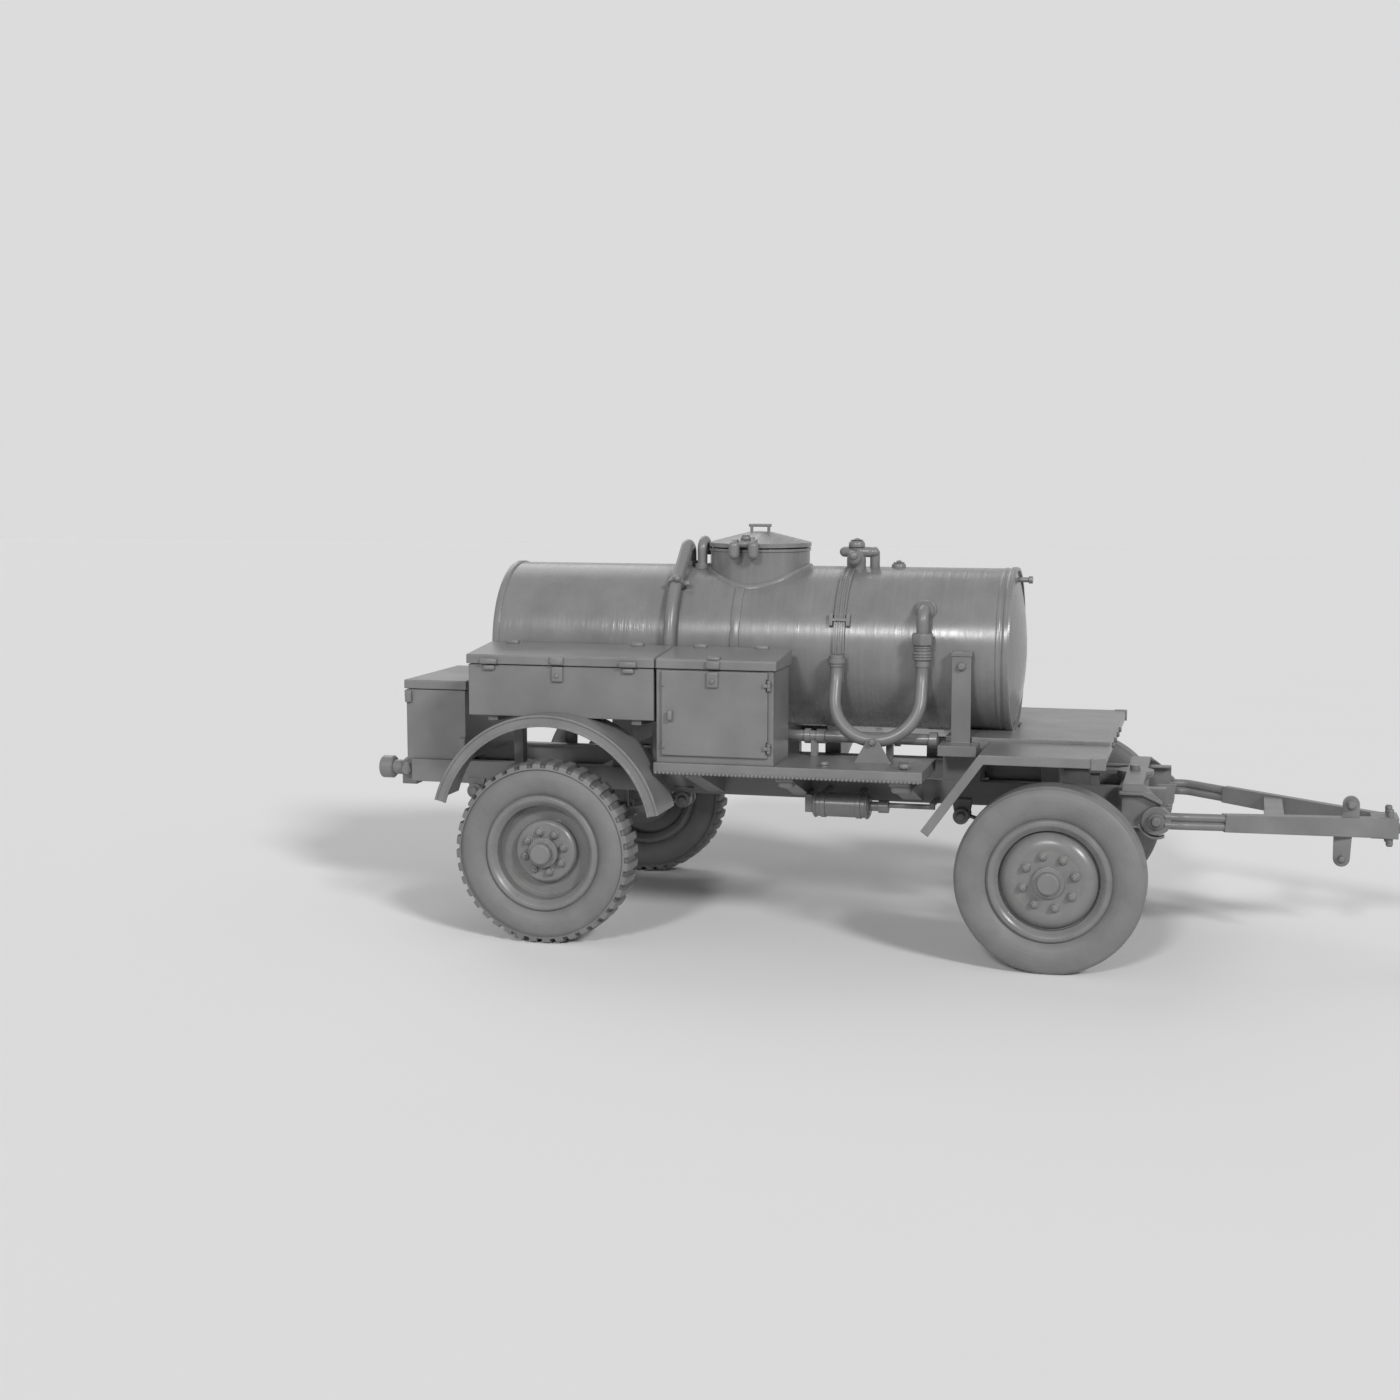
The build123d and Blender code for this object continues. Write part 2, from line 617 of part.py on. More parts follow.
def make_side_boxes():
    hinges, hasp, catches = (-310, 365), 40, (-322, 412)
    top = LOCKER_Z[1] - 1
    body = fuse(shell(LOCKER_X, (-SIDE_Y, -BACK_Y), LOCKER_Z, WALL), *hinge_posts(hinges))
    body += tongue(hasp, top, (-SIDE_Y - 12, -SIDE_Y), 48)
    for x in catches:
        hook = poly((x - 24, top), (x + 24, top), (x + 10, top - 20), (x - 10, top - 20))
        body += slab_y(hook, (-SIDE_Y - 16, -SIDE_Y))
    lid = side_lid((LOCKER_X[0] - 10, LOCKER_X[1] + 6), hinges, hasp, catches)
    for name, piece in (("locker", body), ("locker_lid", lid)):
        write(f"{name}_right", piece)
        write(f"{name}_left", left(piece))

    hinges, hasp = (700, 1020), 847
    body = shell(CABINET_X, (-SIDE_Y, -BACK_Y), (BOARD_Z, LOCKER_Z[1]), WALL)
    body = fuse(body, *hinge_posts(hinges))
    doorway_x = (DOOR_X[0] + 14, DOOR_X[1] - 14)
    body -= block(doorway_x, (-SIDE_Y - 5, -SIDE_Y + WALL + 1), (DOOR_Z[0] + 14, DOOR_Z[1] - 14))
    hx, hy = DOOR_HINGE
    door = block(DOOR_X, (-DOOR_Y[1], -DOOR_Y[0]), DOOR_Z)
    for z in DOOR_HINGES:
        for low in (z - 24, z + 10):
            body += rod_z(hx, -hy, (low, low + 14), 9)
            body += block((hx - 2, hx + 9), (-hy, -SIDE_Y), (low, low + 14))
        body += rod_z(hx, -hy, (z - 22, z + 22), DOOR_PIN_R)
        door -= block((DOOR_X[1] - 8, DOOR_X[1] + 5), (-DOOR_Y[1] - 5, -DOOR_Y[0] + 5), (z - 30, z + 30))
        door += rod_z(hx, -hy, (z - 9, z + 9), 9)
        door += block((DOOR_X[1] - 20, hx), (-hy - 6, -DOOR_Y[1]), (z - 9, z + 9))
        door -= rod_z(hx, -hy, (z - 40, z + 40), DOOR_PIN_R + RUN_GAP)
        door += rod_z(DOOR_X[0] + 6, -DOOR_Y[1], (z - 14, z + 14), 8)
    door += block((622, 644), (-DOOR_Y[1] - 26, -DOOR_Y[1]), (1138, 1186))
    door += tongue(hasp, DOOR_Z[1], (-DOOR_Y[1] - 10, -DOOR_Y[1]), 53)
    lid = side_lid((CABINET_X[0] - 4, CABINET_X[1] + 15), hinges, hasp, ())
    for name, piece in (("cabinet", body), ("cabinet_door", door), ("cabinet_lid", lid)):
        write(f"{name}_right", piece)
        write(f"{name}_left", left(piece))


def make_rear_locker():
    x, y = REAR_LOCKER_X, (-REAR_LOCKER_Y, REAR_LOCKER_Y)
    hx, hz = REAR_HINGE
    top = REAR_LOCKER_Z[1] - 4
    body = shell(x, y, REAR_LOCKER_Z, WALL)
    lid_x, lid_y = (x[0] - 9, x[1] + 8), (y[0] - 8, y[1] + 8)
    lid = block(lid_x, lid_y, REAR_LID_Z)
    upper = lid.edges().group_by(Axis.Z)[-1]
    lid = fillet(upper, LID_ROUND)
    inside_y = (lid_y[0] + WALL, lid_y[1] - WALL)
    lid -= block((lid_x[0] + WALL, lid_x[1] - WALL), inside_y, (0, REAR_LID_Z[1] - WALL))
    arm = poly(
        (x[1], top - 36), (hx + 9, top + 14), (hx + 9, hz),
        (hx - 3, hz), (hx - 3, top), (x[1], top - 16),
    )
    for centre in (-230, 230):
        for low in (centre - 41, centre + 23):
            wide = (low, low + 18)
            body += block((x[1], x[1] + 6), wide, (top - 86, top))
            body += slab_y(arm, wide) + rod_y(hx, wide, hz, 10)
        body += rod_y(hx, (centre - 40, centre + 40), hz, HINGE_PIN_R)
        wide = (centre - 22, centre + 22)
        lid += rod_y(hx, wide, hz, 10) + block((x[1] - 30, hx), wide, (hz + 2, hz + 10))
        lid -= rod_y(hx, (centre - 60, centre + 60), hz, HINGE_PIN_R + RUN_GAP)
    for side in (-1, 1):
        plate_y = (side * REAR_LOCKER_Y, side * (REAR_LOCKER_Y + 10))
        body += block((x[0] - 7, x[0] + 30), plate_y, (top - 36, top))
        body += block((x[1] - 30, x[1]), plate_y, (860, 940))
    write("rear_locker", body)
    write("rear_locker_lid", lid)

    face = CROSS_MEMBERS[0][0]
    profile = outline(
        (REAR_END, 0), (REAR_END, 54), (REAR_END + 8, 61), (REAR_END + 65, 61), (REAR_END + 73, 54),
        (REAR_END + 73, 40), (face - 111, 40), (face - 111, 44), ((face - 66, 66), (face - 20, 44)),
        (face - 20, 62), (face, 62), (face, 0),
    )
    outlet = turn_x(profile, OUTLET_Y, OUTLET_Z)
    outlet += block((face - 107, face - 25), (OUTLET_Y - 40, OUTLET_Y + 40), (OUTLET_Z - 84, OUTLET_Z - 20))
    write("rear_outlet", outlet)


def make_mudguards():
    outer = -GUARD_Y[1]
    rims = (
        # inner radius, outer radius, y from, y to
        (GUARD_R - GUARD_SHEET, GUARD_R, outer, -GUARD_Y[0]),
        (GUARD_R - GUARD_SKIRT, GUARD_R, outer, outer + 6),
        (GUARD_R - GUARD_SKIRT, GUARD_R - GUARD_SKIRT + 10, outer - 6, outer + 6),
        (GUARD_R - 8, GUARD_R + 4, outer - 6, outer + 6),
    )
    guard = fuse(*[slab_y(sector(GUARD_CENTRE, (r0, r1), GUARD_ANGLES), (y0, y1)) for r0, r1, y0, y1 in rims])
    guard -= block((-600, 700), (-SIDE_Y - 4, 0), (LOCKER_Z[0], LOCKER_Z[1]))
    for x in LOCKER_ARMS:
        guard -= block((x - 1, x + LOCKER_ARM_WIDE + 1), (-845, -RAIL_OUT), (LOCKER_Z[0] - 48, LOCKER_Z[1]))
    write("rear_mudguards", guard, left(guard))


def make_deck():
    lip_z = (DECK_Z[0] - DECK_LIP, DECK_Z[0])
    plate = block(DECK_X, (-DECK_Y, DECK_Y), DECK_Z)
    plate += block((DECK_X[1] - 40, DECK_X[1]), (-DECK_Y, DECK_Y), lip_z)
    for side in (-1, 1):
        edge_y = (side * (DECK_Y - 40), side * DECK_Y)
        plate += block(DECK_X, edge_y, lip_z)
        leg_x = (WHEELBASE - 100, WHEELBASE - 10)
        plate += block(leg_x, (side * RAIL_IN, side * RAIL_OUT), (RAIL_Z[1], DECK_Z[0]))
        past_post = (DECK_X[0] - 1, POST_X[1] + 6)
        plate -= block(past_post, (side * 440, side * (DECK_Y + 1)), (lip_z[0] - 1, DECK_Z[1] + 1))
    plate -= block((DECK_X[0] - 1, BEAM_X[1] + 0.5), (-DECK_Y - 1, DECK_Y + 1), (lip_z[0] - 1, BEAM_Z[1]))
    plate -= tank_cut(8, (DECK_X[0] - 100, TANK_X[1] + 34))
    write("front_deck", plate)

    top = ((WING_X[1], WING_Z), (WING_X[0], WING_Z), FLAP_TIP)
    run = (FLAP_TIP[0] - WING_X[0], FLAP_TIP[1] - WING_Z)
    length = sqrt(run[0] ** 2 + run[1] ** 2)
    nx, nz = -run[1] / length, run[0] / length

    def bent(depth):
        fold_x = WING_X[0] + depth * (1 + nz) / nx
        tip = (FLAP_TIP[0] + nx * depth, FLAP_TIP[1] + nz * depth)
        return poly(*top, tip, (fold_x, WING_Z - depth), (WING_X[1], WING_Z - depth))

    wide = (-WING_Y, -DECK_Y - 0.5)
    whole = slab_y(bent(WING_EDGE), wide)
    front_end = block((WING_X[1] - WALL, WING_X[1]), wide, (0, WING_Z))
    low_end = block((FLAP_TIP[0] - 60, FLAP_TIP[0] + 30), wide, (0, FLAP_TIP[1] + 16))
    wing = slab_y(bent(WALL), wide) + slab_y(bent(WING_EDGE), (-WING_Y, -WING_Y + WALL))
    wing += whole & front_end
    wing += whole & low_end
    corner_x = (WING_X[1] - 60, WING_X[1] + 7)
    wing += block(corner_x, (-WING_Y - 6, -WING_Y + 40), (WING_Z - WING_EDGE - 7, WING_Z + 4))
    write("front_wings", wing, left(wing))


def make_reservoir():
    x0, x1 = RESERVOIR_X
    y, z, r = RESERVOIR_Y, RESERVOIR_Z, RESERVOIR_R
    drum = turn_x(
        poly(
            (x0, 0), (x0, r - 16), (x0 + 5, r - 5), (x0 + 16, r),
            (x1 - 16, r), (x1 - 5, r - 5), (x1, r - 16), (x1, 0),
        ),
        y, z)
    for x in (x0 + 46, x1 - 70):
        drum += rod_x((x, x + 24), y, z, r + 5)
        drum += block((x, x + 24), (y, -RAIL_OUT), (742, 758))
    drum += rod_x((x1 - 2, x1 + 40), y, z, 24) + rod_x((x1 + 40, x1 + 90), y, z, 32)
    drum += rod_x((x1 + 90, RESERVOIR_PIPE_END), y, z + 8, 13)
    drum += block((RESERVOIR_PIPE_END - 25, RESERVOIR_PIPE_END), (y - 20, -RAIL_OUT), (705, 722))
    drum += block((x0 - 36, x0), (y - 24, y + 24), (z - 40, 742))
    drum += block((x0 - 36, x0 - 24), (y, -RAIL_OUT), (705, 742))
    write("brake_reservoir", drum)


def make_chassis():
    z0, z1 = RAIL_Z
    rail = block(RAIL_X, (-RAIL_OUT, -RAIL_IN), RAIL_Z)
    rail -= block(RAIL_X, (-RAIL_OUT + RAIL_WALL, 0), (z0 + RAIL_WALL, z1 - RAIL_WALL))
    cheeks = (
        # plate y from, plate y to, boss y from, boss y to
        (-RAIL_OUT - 14, -RAIL_OUT + 4.5, -RAIL_OUT - 46, -RAIL_OUT + 4.5),
        (-RAIL_IN - 4.5, -RAIL_IN + 14, -RAIL_IN - 4.5, -RAIL_IN + 14),
    )
    for node, axle_x, axle_z, half, eye_z, leaves in SPRINGS:
        for x in (axle_x - half, axle_x + half):
            side = poly((x - 50, z0 + 30), (x + 50, z0 + 30), (x + 34, eye_z), (x - 34, eye_z))
            for plate0, plate1, boss0, boss1 in cheeks:
                rail += slab_y(side, (plate0, plate1)) + rod_y(x, (boss0, boss1), eye_z, 40)
            rail += rod_y(x, (-RAIL_OUT, -RAIL_IN), eye_z, SPRING_PIN_R)
    frame = rail + left(rail)
    for x in CROSS_MEMBERS:
        frame += block(x, (-RAIL_IN - 52, RAIL_IN + 52), (z0 + RAIL_WALL + 6, z1 - RAIL_WALL))
    plate = CARRIER_PLATE_Z
    frame += rod_z(CARRIER_X, 0, (z0, z1), 70) + rod_z(CARRIER_X, 0, (z1, plate[0] - 0.5), 90)
    frame += rod_z(CARRIER_X, 0, (z1, plate[1] + 24), CARRIER_PIN_R)
    write("chassis_frame", frame)


def make_springs():
    wide = (-SPRING_Y[1], -SPRING_Y[0])
    for node, axle_x, axle_z, half, eye_z, leaves in SPRINGS:
        low = axle_z + AXLE_R + PAD
        top = low + leaves * LEAF
        sag = eye_z - (top - LEAF)
        radius = (half ** 2 + sag ** 2) / (2 * sag)
        span = degrees(asin(half / radius))
        centre = (axle_x, top - LEAF + radius)
        pieces = []
        for i in range(leaves):
            reach = span * (1 - 0.86 * i / leaves)
            r = radius - LEAF + i * LEAF
            pieces.append(slab_y(sector(centre, (r, r + LEAF), (270 - reach, 270 + reach)), wide))
        stack = fuse(*pieces)
        for x in (axle_x - half, axle_x + half):
            stack += rod_y(x, wide, eye_z, SPRING_EYE_R)
            stack -= rod_y(x, (wide[0] - 1, wide[1] + 1), eye_z, SPRING_PIN_R + RUN_GAP)
        stack += block((axle_x - 60, axle_x + 60), (wide[0] - 12, wide[1] + 12), (low - PAD, top + 6))
        stack -= rod_y(axle_x, (wide[0] - 20, wide[1] + 20), axle_z, AXLE_R + RUN_GAP)
        write(node, stack, left(stack))


def make_axles():
    beam = rod_y(0, (-800, 800), REAR_TYRE_R, AXLE_R)
    for side in (-1, 1):
        beam += rod_y(0, (side * 795, side * 990), REAR_TYRE_R, SPINDLE_R)
        beam += rod_y(0, (side * 790, side * 806), REAR_TYRE_R, 165)
    write("rear_axle", beam)

    x, z = WHEELBASE, FRONT_TYRE_R
    pins = (-KING_PIN_Y, KING_PIN_Y)
    beam = rod_y(x, pins, z, AXLE_R)
    for y in pins:
        beam += rod_z(x, y, (z - 44, z + 44), 42)
        beam -= rod_z(x, y, (z - 60, z + 60), KING_PIN_R + RUN_GAP)
    write("front_axle", beam)

    knuckle = rod_z(x, -KING_PIN_Y, (z - 76, z + 80), KING_PIN_R)
    for fork_z in ((z - 76, z - 50), (z + 50, z + 76)):
        knuckle += rod_z(x, -KING_PIN_Y, fork_z, 44)
        knuckle += block((x - 44, x + 44), (-815, -KING_PIN_Y), fork_z)
    knuckle += block((x - 44, x + 44), (-815, -799), (z - 76, z + 76))
    knuckle += rod_y(x, (-826, -810), z, 160) + rod_y(x, (-990, -810), z, SPINDLE_R)
    pin_x = x - STEER_ARM
    knuckle += block((pin_x, x), (-KING_PIN_Y - 20, -KING_PIN_Y + 20), ARM_Z)
    knuckle += rod_z(pin_x, -KING_PIN_Y, ARM_Z, 24)
    pin_top = TRACK_ROD_Z[1] + 6
    write("knuckle_right", knuckle + rod_z(pin_x, -KING_PIN_Y, (DRAG_LINK_Z[0] - 6, pin_top), LINK_PIN_R))
    write("knuckle_left", left(knuckle + rod_z(pin_x, -KING_PIN_Y, (ARM_Z[0], pin_top), LINK_PIN_R)))

    links = (
        # node, one pin, other pin, ring z, rod radius
        ("track_rod", (pin_x, -KING_PIN_Y), (pin_x, KING_PIN_Y), TRACK_ROD_Z, 9),
        ("drag_link", (CARRIER_X - STEER_ARM, 0), (pin_x, -KING_PIN_Y), DRAG_LINK_Z, 10),
    )
    for node, start, end, ring_z, r in links:
        middle = sum(ring_z) / 2
        link = bar((*start, middle), (*end, middle), r)
        for pin in (start, end):
            link += rod_z(*pin, ring_z, 26)
        for pin in (start, end):
            link -= rod_z(*pin, (ring_z[0] - 20, ring_z[1] + 20), LINK_PIN_R + RUN_GAP)
        write(node, link)


def make_carrier():
    y0, y1 = CARRIER_PLATE_Y
    z0, z1 = CARRIER_PLATE_Z
    x0, x1 = CARRIER_X - 38, CARRIER_X + 150
    bend_x = CARRIER_X + 60
    foot, out_knee, in_knee = BAR_PIVOT_Z - 40, z1 - 35, z0 - 25
    half = ((y0, foot), (y0, in_knee), (y0 - 20, z0))
    outer = ((y1 - 30, z1), (y1, out_knee), (y1, foot))
    carrier = slab_x(
        poly(*outer, *half, *[(-y, z) for y, z in reversed(half)], *[(-y, z) for y, z in reversed(outer)]),
        (x0, x1))
    carrier -= block((bend_x, x1 + 1), (20 - y0, y0 - 20), (z0 - 1, z1 + 1))
    slope = poly((bend_x, z1 + 1), (x1 + 1, z1 + 1), (x1 + 1, out_knee - 40))
    carrier -= slab_y(slope, (-y1 - 1, y1 + 1))
    rib = poly(
        (x0 - 12, out_knee - 10), (x0 - 12, out_knee + 4), (bend_x, out_knee + 4),
        (x1 + 5, out_knee - 40), (x1 + 5, out_knee - 54), (bend_x, out_knee - 10),
    )
    arm_x = CARRIER_X - STEER_ARM
    carrier += block((arm_x - 30, x0 + 18), (-45, 45), CARRIER_PLATE_Z)
    carrier += block((arm_x - 22, arm_x + 22), (-26, 26), (DRAG_LINK_Z[1] + 6, z0))
    carrier += rod_z(arm_x, 0, (DRAG_LINK_Z[0] - 6, DRAG_LINK_Z[1] + 10), LINK_PIN_R)
    carrier += rod_z(CARRIER_X, 0, CARRIER_PLATE_Z, 95)
    carrier -= rod_z(CARRIER_X, 0, (z0 - 50, z1 + 50), CARRIER_PIN_R + RUN_GAP)
    x, z = BAR_PIVOT_X, BAR_PIVOT_Z
    for side in (-1, 1):
        near, far = side * y1, side * (BAR_EYE_Y[1] + 24)
        flange = side * (y1 + 34)
        carrier += rod_y(x, (side * y0, near), z, 66)
        carrier += rod_y(x, (side * y0, far), z, BAR_PIN_R)
        carrier += rod_y(x, (side * (BAR_EYE_Y[1] + 6), far), z, 38)
        carrier += slab_y(rib, sorted((near, flange)))
        carrier += slab_y(sector((x, z), (82, 92), (192, 296)), sorted((side * y0, flange)))
        carrier += block((x0 + 18, x - 76), (side * y0, flange), (foot, foot + 10))
    write("drawbar_carrier", carrier)


def make_drawbar():
    px, pz = BAR_PIVOT_X, BAR_PIVOT_Z
    py = -(BAR_EYE_Y[0] + BAR_EYE_Y[1]) / 2
    nx, ny, nz = BAR_NOSE[0], -BAR_NOSE[1], BAR_NOSE[2]

    def along(t):
        return (BAR_KNEE_X + (nx - BAR_KNEE_X) * t, py + (ny - py) * t, pz + (nz - pz) * t)

    arm = rod_y(px, (-BAR_EYE_Y[1], -BAR_EYE_Y[0]), pz, BAR_EYE_R)
    for lift in (1 - BAR_TUBE_R, BAR_TUBE_R - 1):
        run = ((px + 40, py, pz), (BAR_KNEE_X, py, pz), along(BAR_SPLIT + 0.06))
        arm += tube([(x, y, z + lift) for x, y, z in run], (120,), BAR_TUBE_R)
    a, b = along(BAR_SPLIT), along(1.0)
    way = Vector(*b) - Vector(*a)
    rear = Plane(a, x_dir=(0, 1, 0), z_dir=way) * Rectangle(52, 84)
    front = Plane(b, x_dir=(0, 1, 0), z_dir=way) * Rectangle(58, 98)
    arm += loft([rear, front])
    arm -= rod_y(px, (-BAR_EYE_Y[1] - 10, -BAR_EYE_Y[0] + 10), pz, BAR_PIN_R + RUN_GAP)
    whole = arm + left(arm)
    cx, cy, cz = along(0.45)
    whole += block((cx - 46, cx + 46), (cy + 6, -cy - 6), (cz - 12, cz + 34))
    whole += block((nx - 70, nx + 60), (-92, 92), (nz - 52, nz + 52))
    for y in (-60, 60):
        whole += rod_z(nx + 20, y, (nz - 78, nz + 78), 17)
    tx, tab_y = nx - 170, (-150, -124)
    upper = outline((tx - 40, 650), (tx - 40, 735), ((tx, 775), (tx + 40, 735)), (tx + 40, 650))
    lower = outline((tx - 78, 610), (tx - 78, 462), ((tx - 38, 422), (tx + 2, 462)), (tx + 10, 610))
    whole += slab_y(upper, tab_y) + rod_y(tx, (-166, -110), 735, 24)
    whole += slab_y(lower, tab_y) + rod_y(tx - 38, (-164, -110), 462, 18)
    whole += block((tx - 60, tx + 40), (-150, -80), (600, 652))
    write("drawbar", whole)
    half = EYE_THICK / 2
    eye = rod_z(EYE_X, 0, (EYE_Z - half, EYE_Z + half), EYE_OUTER_R)
    eye += block((nx + 60, EYE_X - 50), (-34, 34), (EYE_Z - half, EYE_Z + half))
    eye -= rod_z(EYE_X, 0, (EYE_Z - 100, EYE_Z + 100), EYE_HOLE_R)
    write("towing_eye", eye)


def tyre_profile(r):
    """Half-turned section of a tyre; r is the radius of its crown."""
    bead = RIM_R + 0.3
    edge = RIM_FLANGE_R + 2
    w = TYRE_HALF
    return outline(
        (bead, -71), (edge, -71.5), ((edge + 70, -w), (r - 14, -84)), (r, -66), (r, 66), (r - 14, 84),
        ((edge + 70, w), (edge, 71.5)), (bead, 71),
    )


def rim_points():
    """Section of the rim from its outer edge round the bead seat to its inner edge."""
    edge = RIM_FLANGE_R
    outer = ((240, 66), (258, 84), (268, 91), (edge - 9, 91), (edge, 82), (edge, 72), (RIM_R, 71.5))
    return (*outer, *[(r, -y) for r, y in reversed(outer)])


def make_wheels():
    front_tyre = turn_y(tyre_profile(FRONT_TYRE_R))
    crown = REAR_TYRE_R
    root = crown - LUG_HEIGHT - LUG_ROOT
    points = []
    for i in range(LUGS):
        for r, share in ((root, 0), (crown + 0.2, 0.06), (crown + 0.2, 0.56), (root, 0.62)):
            angle = radians((i + share) * 360 / LUGS)
            points.append((r * cos(angle), r * sin(angle)))
    side = TYRE_HALF - 3
    ring = slab_y(poly(*points) - Circle(root - 8), (-side, side))
    envelope = turn_y(poly(
        (crown - 80, -side), (crown - 36, -side), (crown - 8, -side + 9), (crown, -side + 33),
        (crown, side - 33), (crown - 8, side - 9), (crown - 36, side), (crown - 80, side),
    ))
    rear_tyre = turn_y(tyre_profile(crown - LUG_HEIGHT)) + (ring & envelope)

    bore = SPINDLE_R + RUN_GAP
    cap = HUB_CAP_R
    rear_wheel = turn_y(outline(
        (bore, -116), (bore, 64), (0, 64), (0, 121), (cap - 8, 121), (cap, 113), (cap, 72), (76, 68),
        (76, 32), (146, 30), (155, 24), (160, 12), (160, -18), (226, -14), (240, 4), *rim_points(),
        (240, -24), (226, -32), (100, -34), (90, -116),
    ))
    front_wheel = turn_y(outline(
        (bore, -96), (bore, 64), (0, 64), (0, 150), (cap - 8, 150), (cap, 142), (cap, 112),
        (76, 108), (76, 90), (150, 86), ((212, 70), (236, 34)), (240, 36), *rim_points(),
        (240, 16), (228, 16), ((204, 54), (150, 70)), (90, 74), (90, -96),
    ))
    axles = (
        # end, x, z, wheel, tyre
        ("rear", 0, REAR_TYRE_R, rear_wheel, rear_tyre),
        ("front", WHEELBASE, FRONT_TYRE_R, front_wheel, front_tyre),
    )
    for end, x, z, wheel, tyre in axles:
        for word, shape in (("wheel", wheel), ("tyre", tyre)):
            placed = Pos(x, TYRE_Y, z) * shape
            write(f"{word}_{end}_left", placed)
            write(f"{word}_{end}_right", left(placed))


os.makedirs("parts", exist_ok=True)
make_tank()
make_manhole()
make_tank_supports()
make_pipes()
make_hose()
make_boards()
make_side_boxes()
make_rear_locker()
make_mudguards()
make_deck()
make_reservoir()
make_chassis()
make_springs()
make_axles()
make_carrier()
make_drawbar()
make_wheels()
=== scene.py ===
"""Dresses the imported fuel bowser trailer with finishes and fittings, and sets it in a plain studio."""

import json
import logging
import math
from abc import ABC, abstractmethod
from dataclasses import dataclass
from enum import Enum
from functools import partialmethod
from typing import Callable, Iterable, Sequence

import bpy
from mathutils import Matrix, Vector


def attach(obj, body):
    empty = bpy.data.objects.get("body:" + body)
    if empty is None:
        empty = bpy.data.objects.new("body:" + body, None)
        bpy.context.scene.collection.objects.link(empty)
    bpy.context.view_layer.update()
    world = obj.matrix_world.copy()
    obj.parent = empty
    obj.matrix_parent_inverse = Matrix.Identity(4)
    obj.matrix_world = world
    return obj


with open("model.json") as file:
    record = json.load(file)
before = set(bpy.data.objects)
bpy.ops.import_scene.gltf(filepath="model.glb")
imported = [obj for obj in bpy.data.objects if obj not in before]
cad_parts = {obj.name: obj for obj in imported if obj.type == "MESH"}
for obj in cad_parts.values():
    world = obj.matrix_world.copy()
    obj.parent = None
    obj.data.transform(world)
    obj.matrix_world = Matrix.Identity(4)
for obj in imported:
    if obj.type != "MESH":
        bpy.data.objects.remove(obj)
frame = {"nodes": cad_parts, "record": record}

LOG = logging.getLogger("bowser")

Point = tuple[float, float, float]
Span = tuple[float, float]
Socket = bpy.types.NodeSocket
Material = bpy.types.Material
Piece = bpy.types.Object
FaceTest = Callable[[Vector, Vector], bool]

# Lengthways place and height of the axles in millimetres, and the tank in metres.
AXLE_BEHIND_ORIGIN = 1.601
REAR_AXLE = (0, 460)
FRONT_AXLE = (2510, 450)
TANK_RADIUS = 0.421
TANK_HEIGHT = 1.441

UNIT: Span = (0, 1)
MIRROR = Matrix.Diagonal((1, -1, 1, 1))

# Share of a normal that makes a face look along an axis, and distances that count as none.
FACING_SHARE = 0.9
LEVEL_SLACK = 1e-4
SAME_SPOT = 1e-5
SMOOTH_ANGLE = math.radians(38)

BLOCK = bpy.ops.mesh.primitive_cube_add
DISC = bpy.ops.mesh.primitive_cylinder_add
HOOP = bpy.ops.mesh.primitive_torus_add


class Slot(Enum):
    """Material slots of the record."""

    TANK = "tank_paint"
    BOX = "box_paint"
    PANEL = "panel_paint"
    FITTING = "fitting_paint"
    HOSE = "hose_rubber"
    WHEEL = "wheel_paint"
    TYRE = "tyre_rubber"
    STEEL = "bare_steel"
    CHASSIS = "chassis_paint"


class Side(Enum):
    """Sides of the trailer, with the sign of y."""

    RIGHT = -1
    LEFT = 1

    @property
    def word(self) -> str:
        """The side's name as the bodies have it."""
        return self.name.lower()


class Facing(Enum):
    """Ways that a fastener can point; out is to the left and turns over on the right side."""

    OUT = (0, 1, 0)
    UP = (0, 0, 1)
    DOWN = (0, 0, -1)
    AHEAD = (1, 0, 0)
    BACK = (-1, 0, 0)

    def on(self, side: Side) -> Vector:
        """Gives the direction on one side of the trailer.

        Args:
            side: The side.

        Returns:
            The direction, with out pointing away from the middle.
        """
        way = Vector(self.value)
        way.y *= side.value
        return way


def metres(length: float) -> float:
    """Turns millimetres into metres.

    Args:
        length: Length in millimetres.

    Returns:
        The length in metres.
    """
    return length / 1000


def row(x: float, y: float, z: float) -> Vector:
    """Turns millimetres from the rear axle into the frame's metres.

    Args:
        x: Distance ahead of the rear axle.
        y: Distance to the left of the middle.
        z: Height over the ground.

    Returns:
        The point in the frame.
    """
    return Vector((metres(x) - AXLE_BEHIND_ORIGIN, metres(y), metres(z)))


def aim(direction: Sequence[float]) -> Matrix:
    """Gives the turn that points an upright piece another way.

    Args:
        direction: Where the piece's top goes.

    Returns:
        The turning matrix.
    """
    return Vector((0, 0, 1)).rotation_difference(Vector(direction)).to_matrix().to_4x4()


def grey(tone: float) -> Point:
    """Gives a grey.

    Args:
        tone: Its brightness.

    Returns:
        The colour.
    """
    return tone, tone, tone


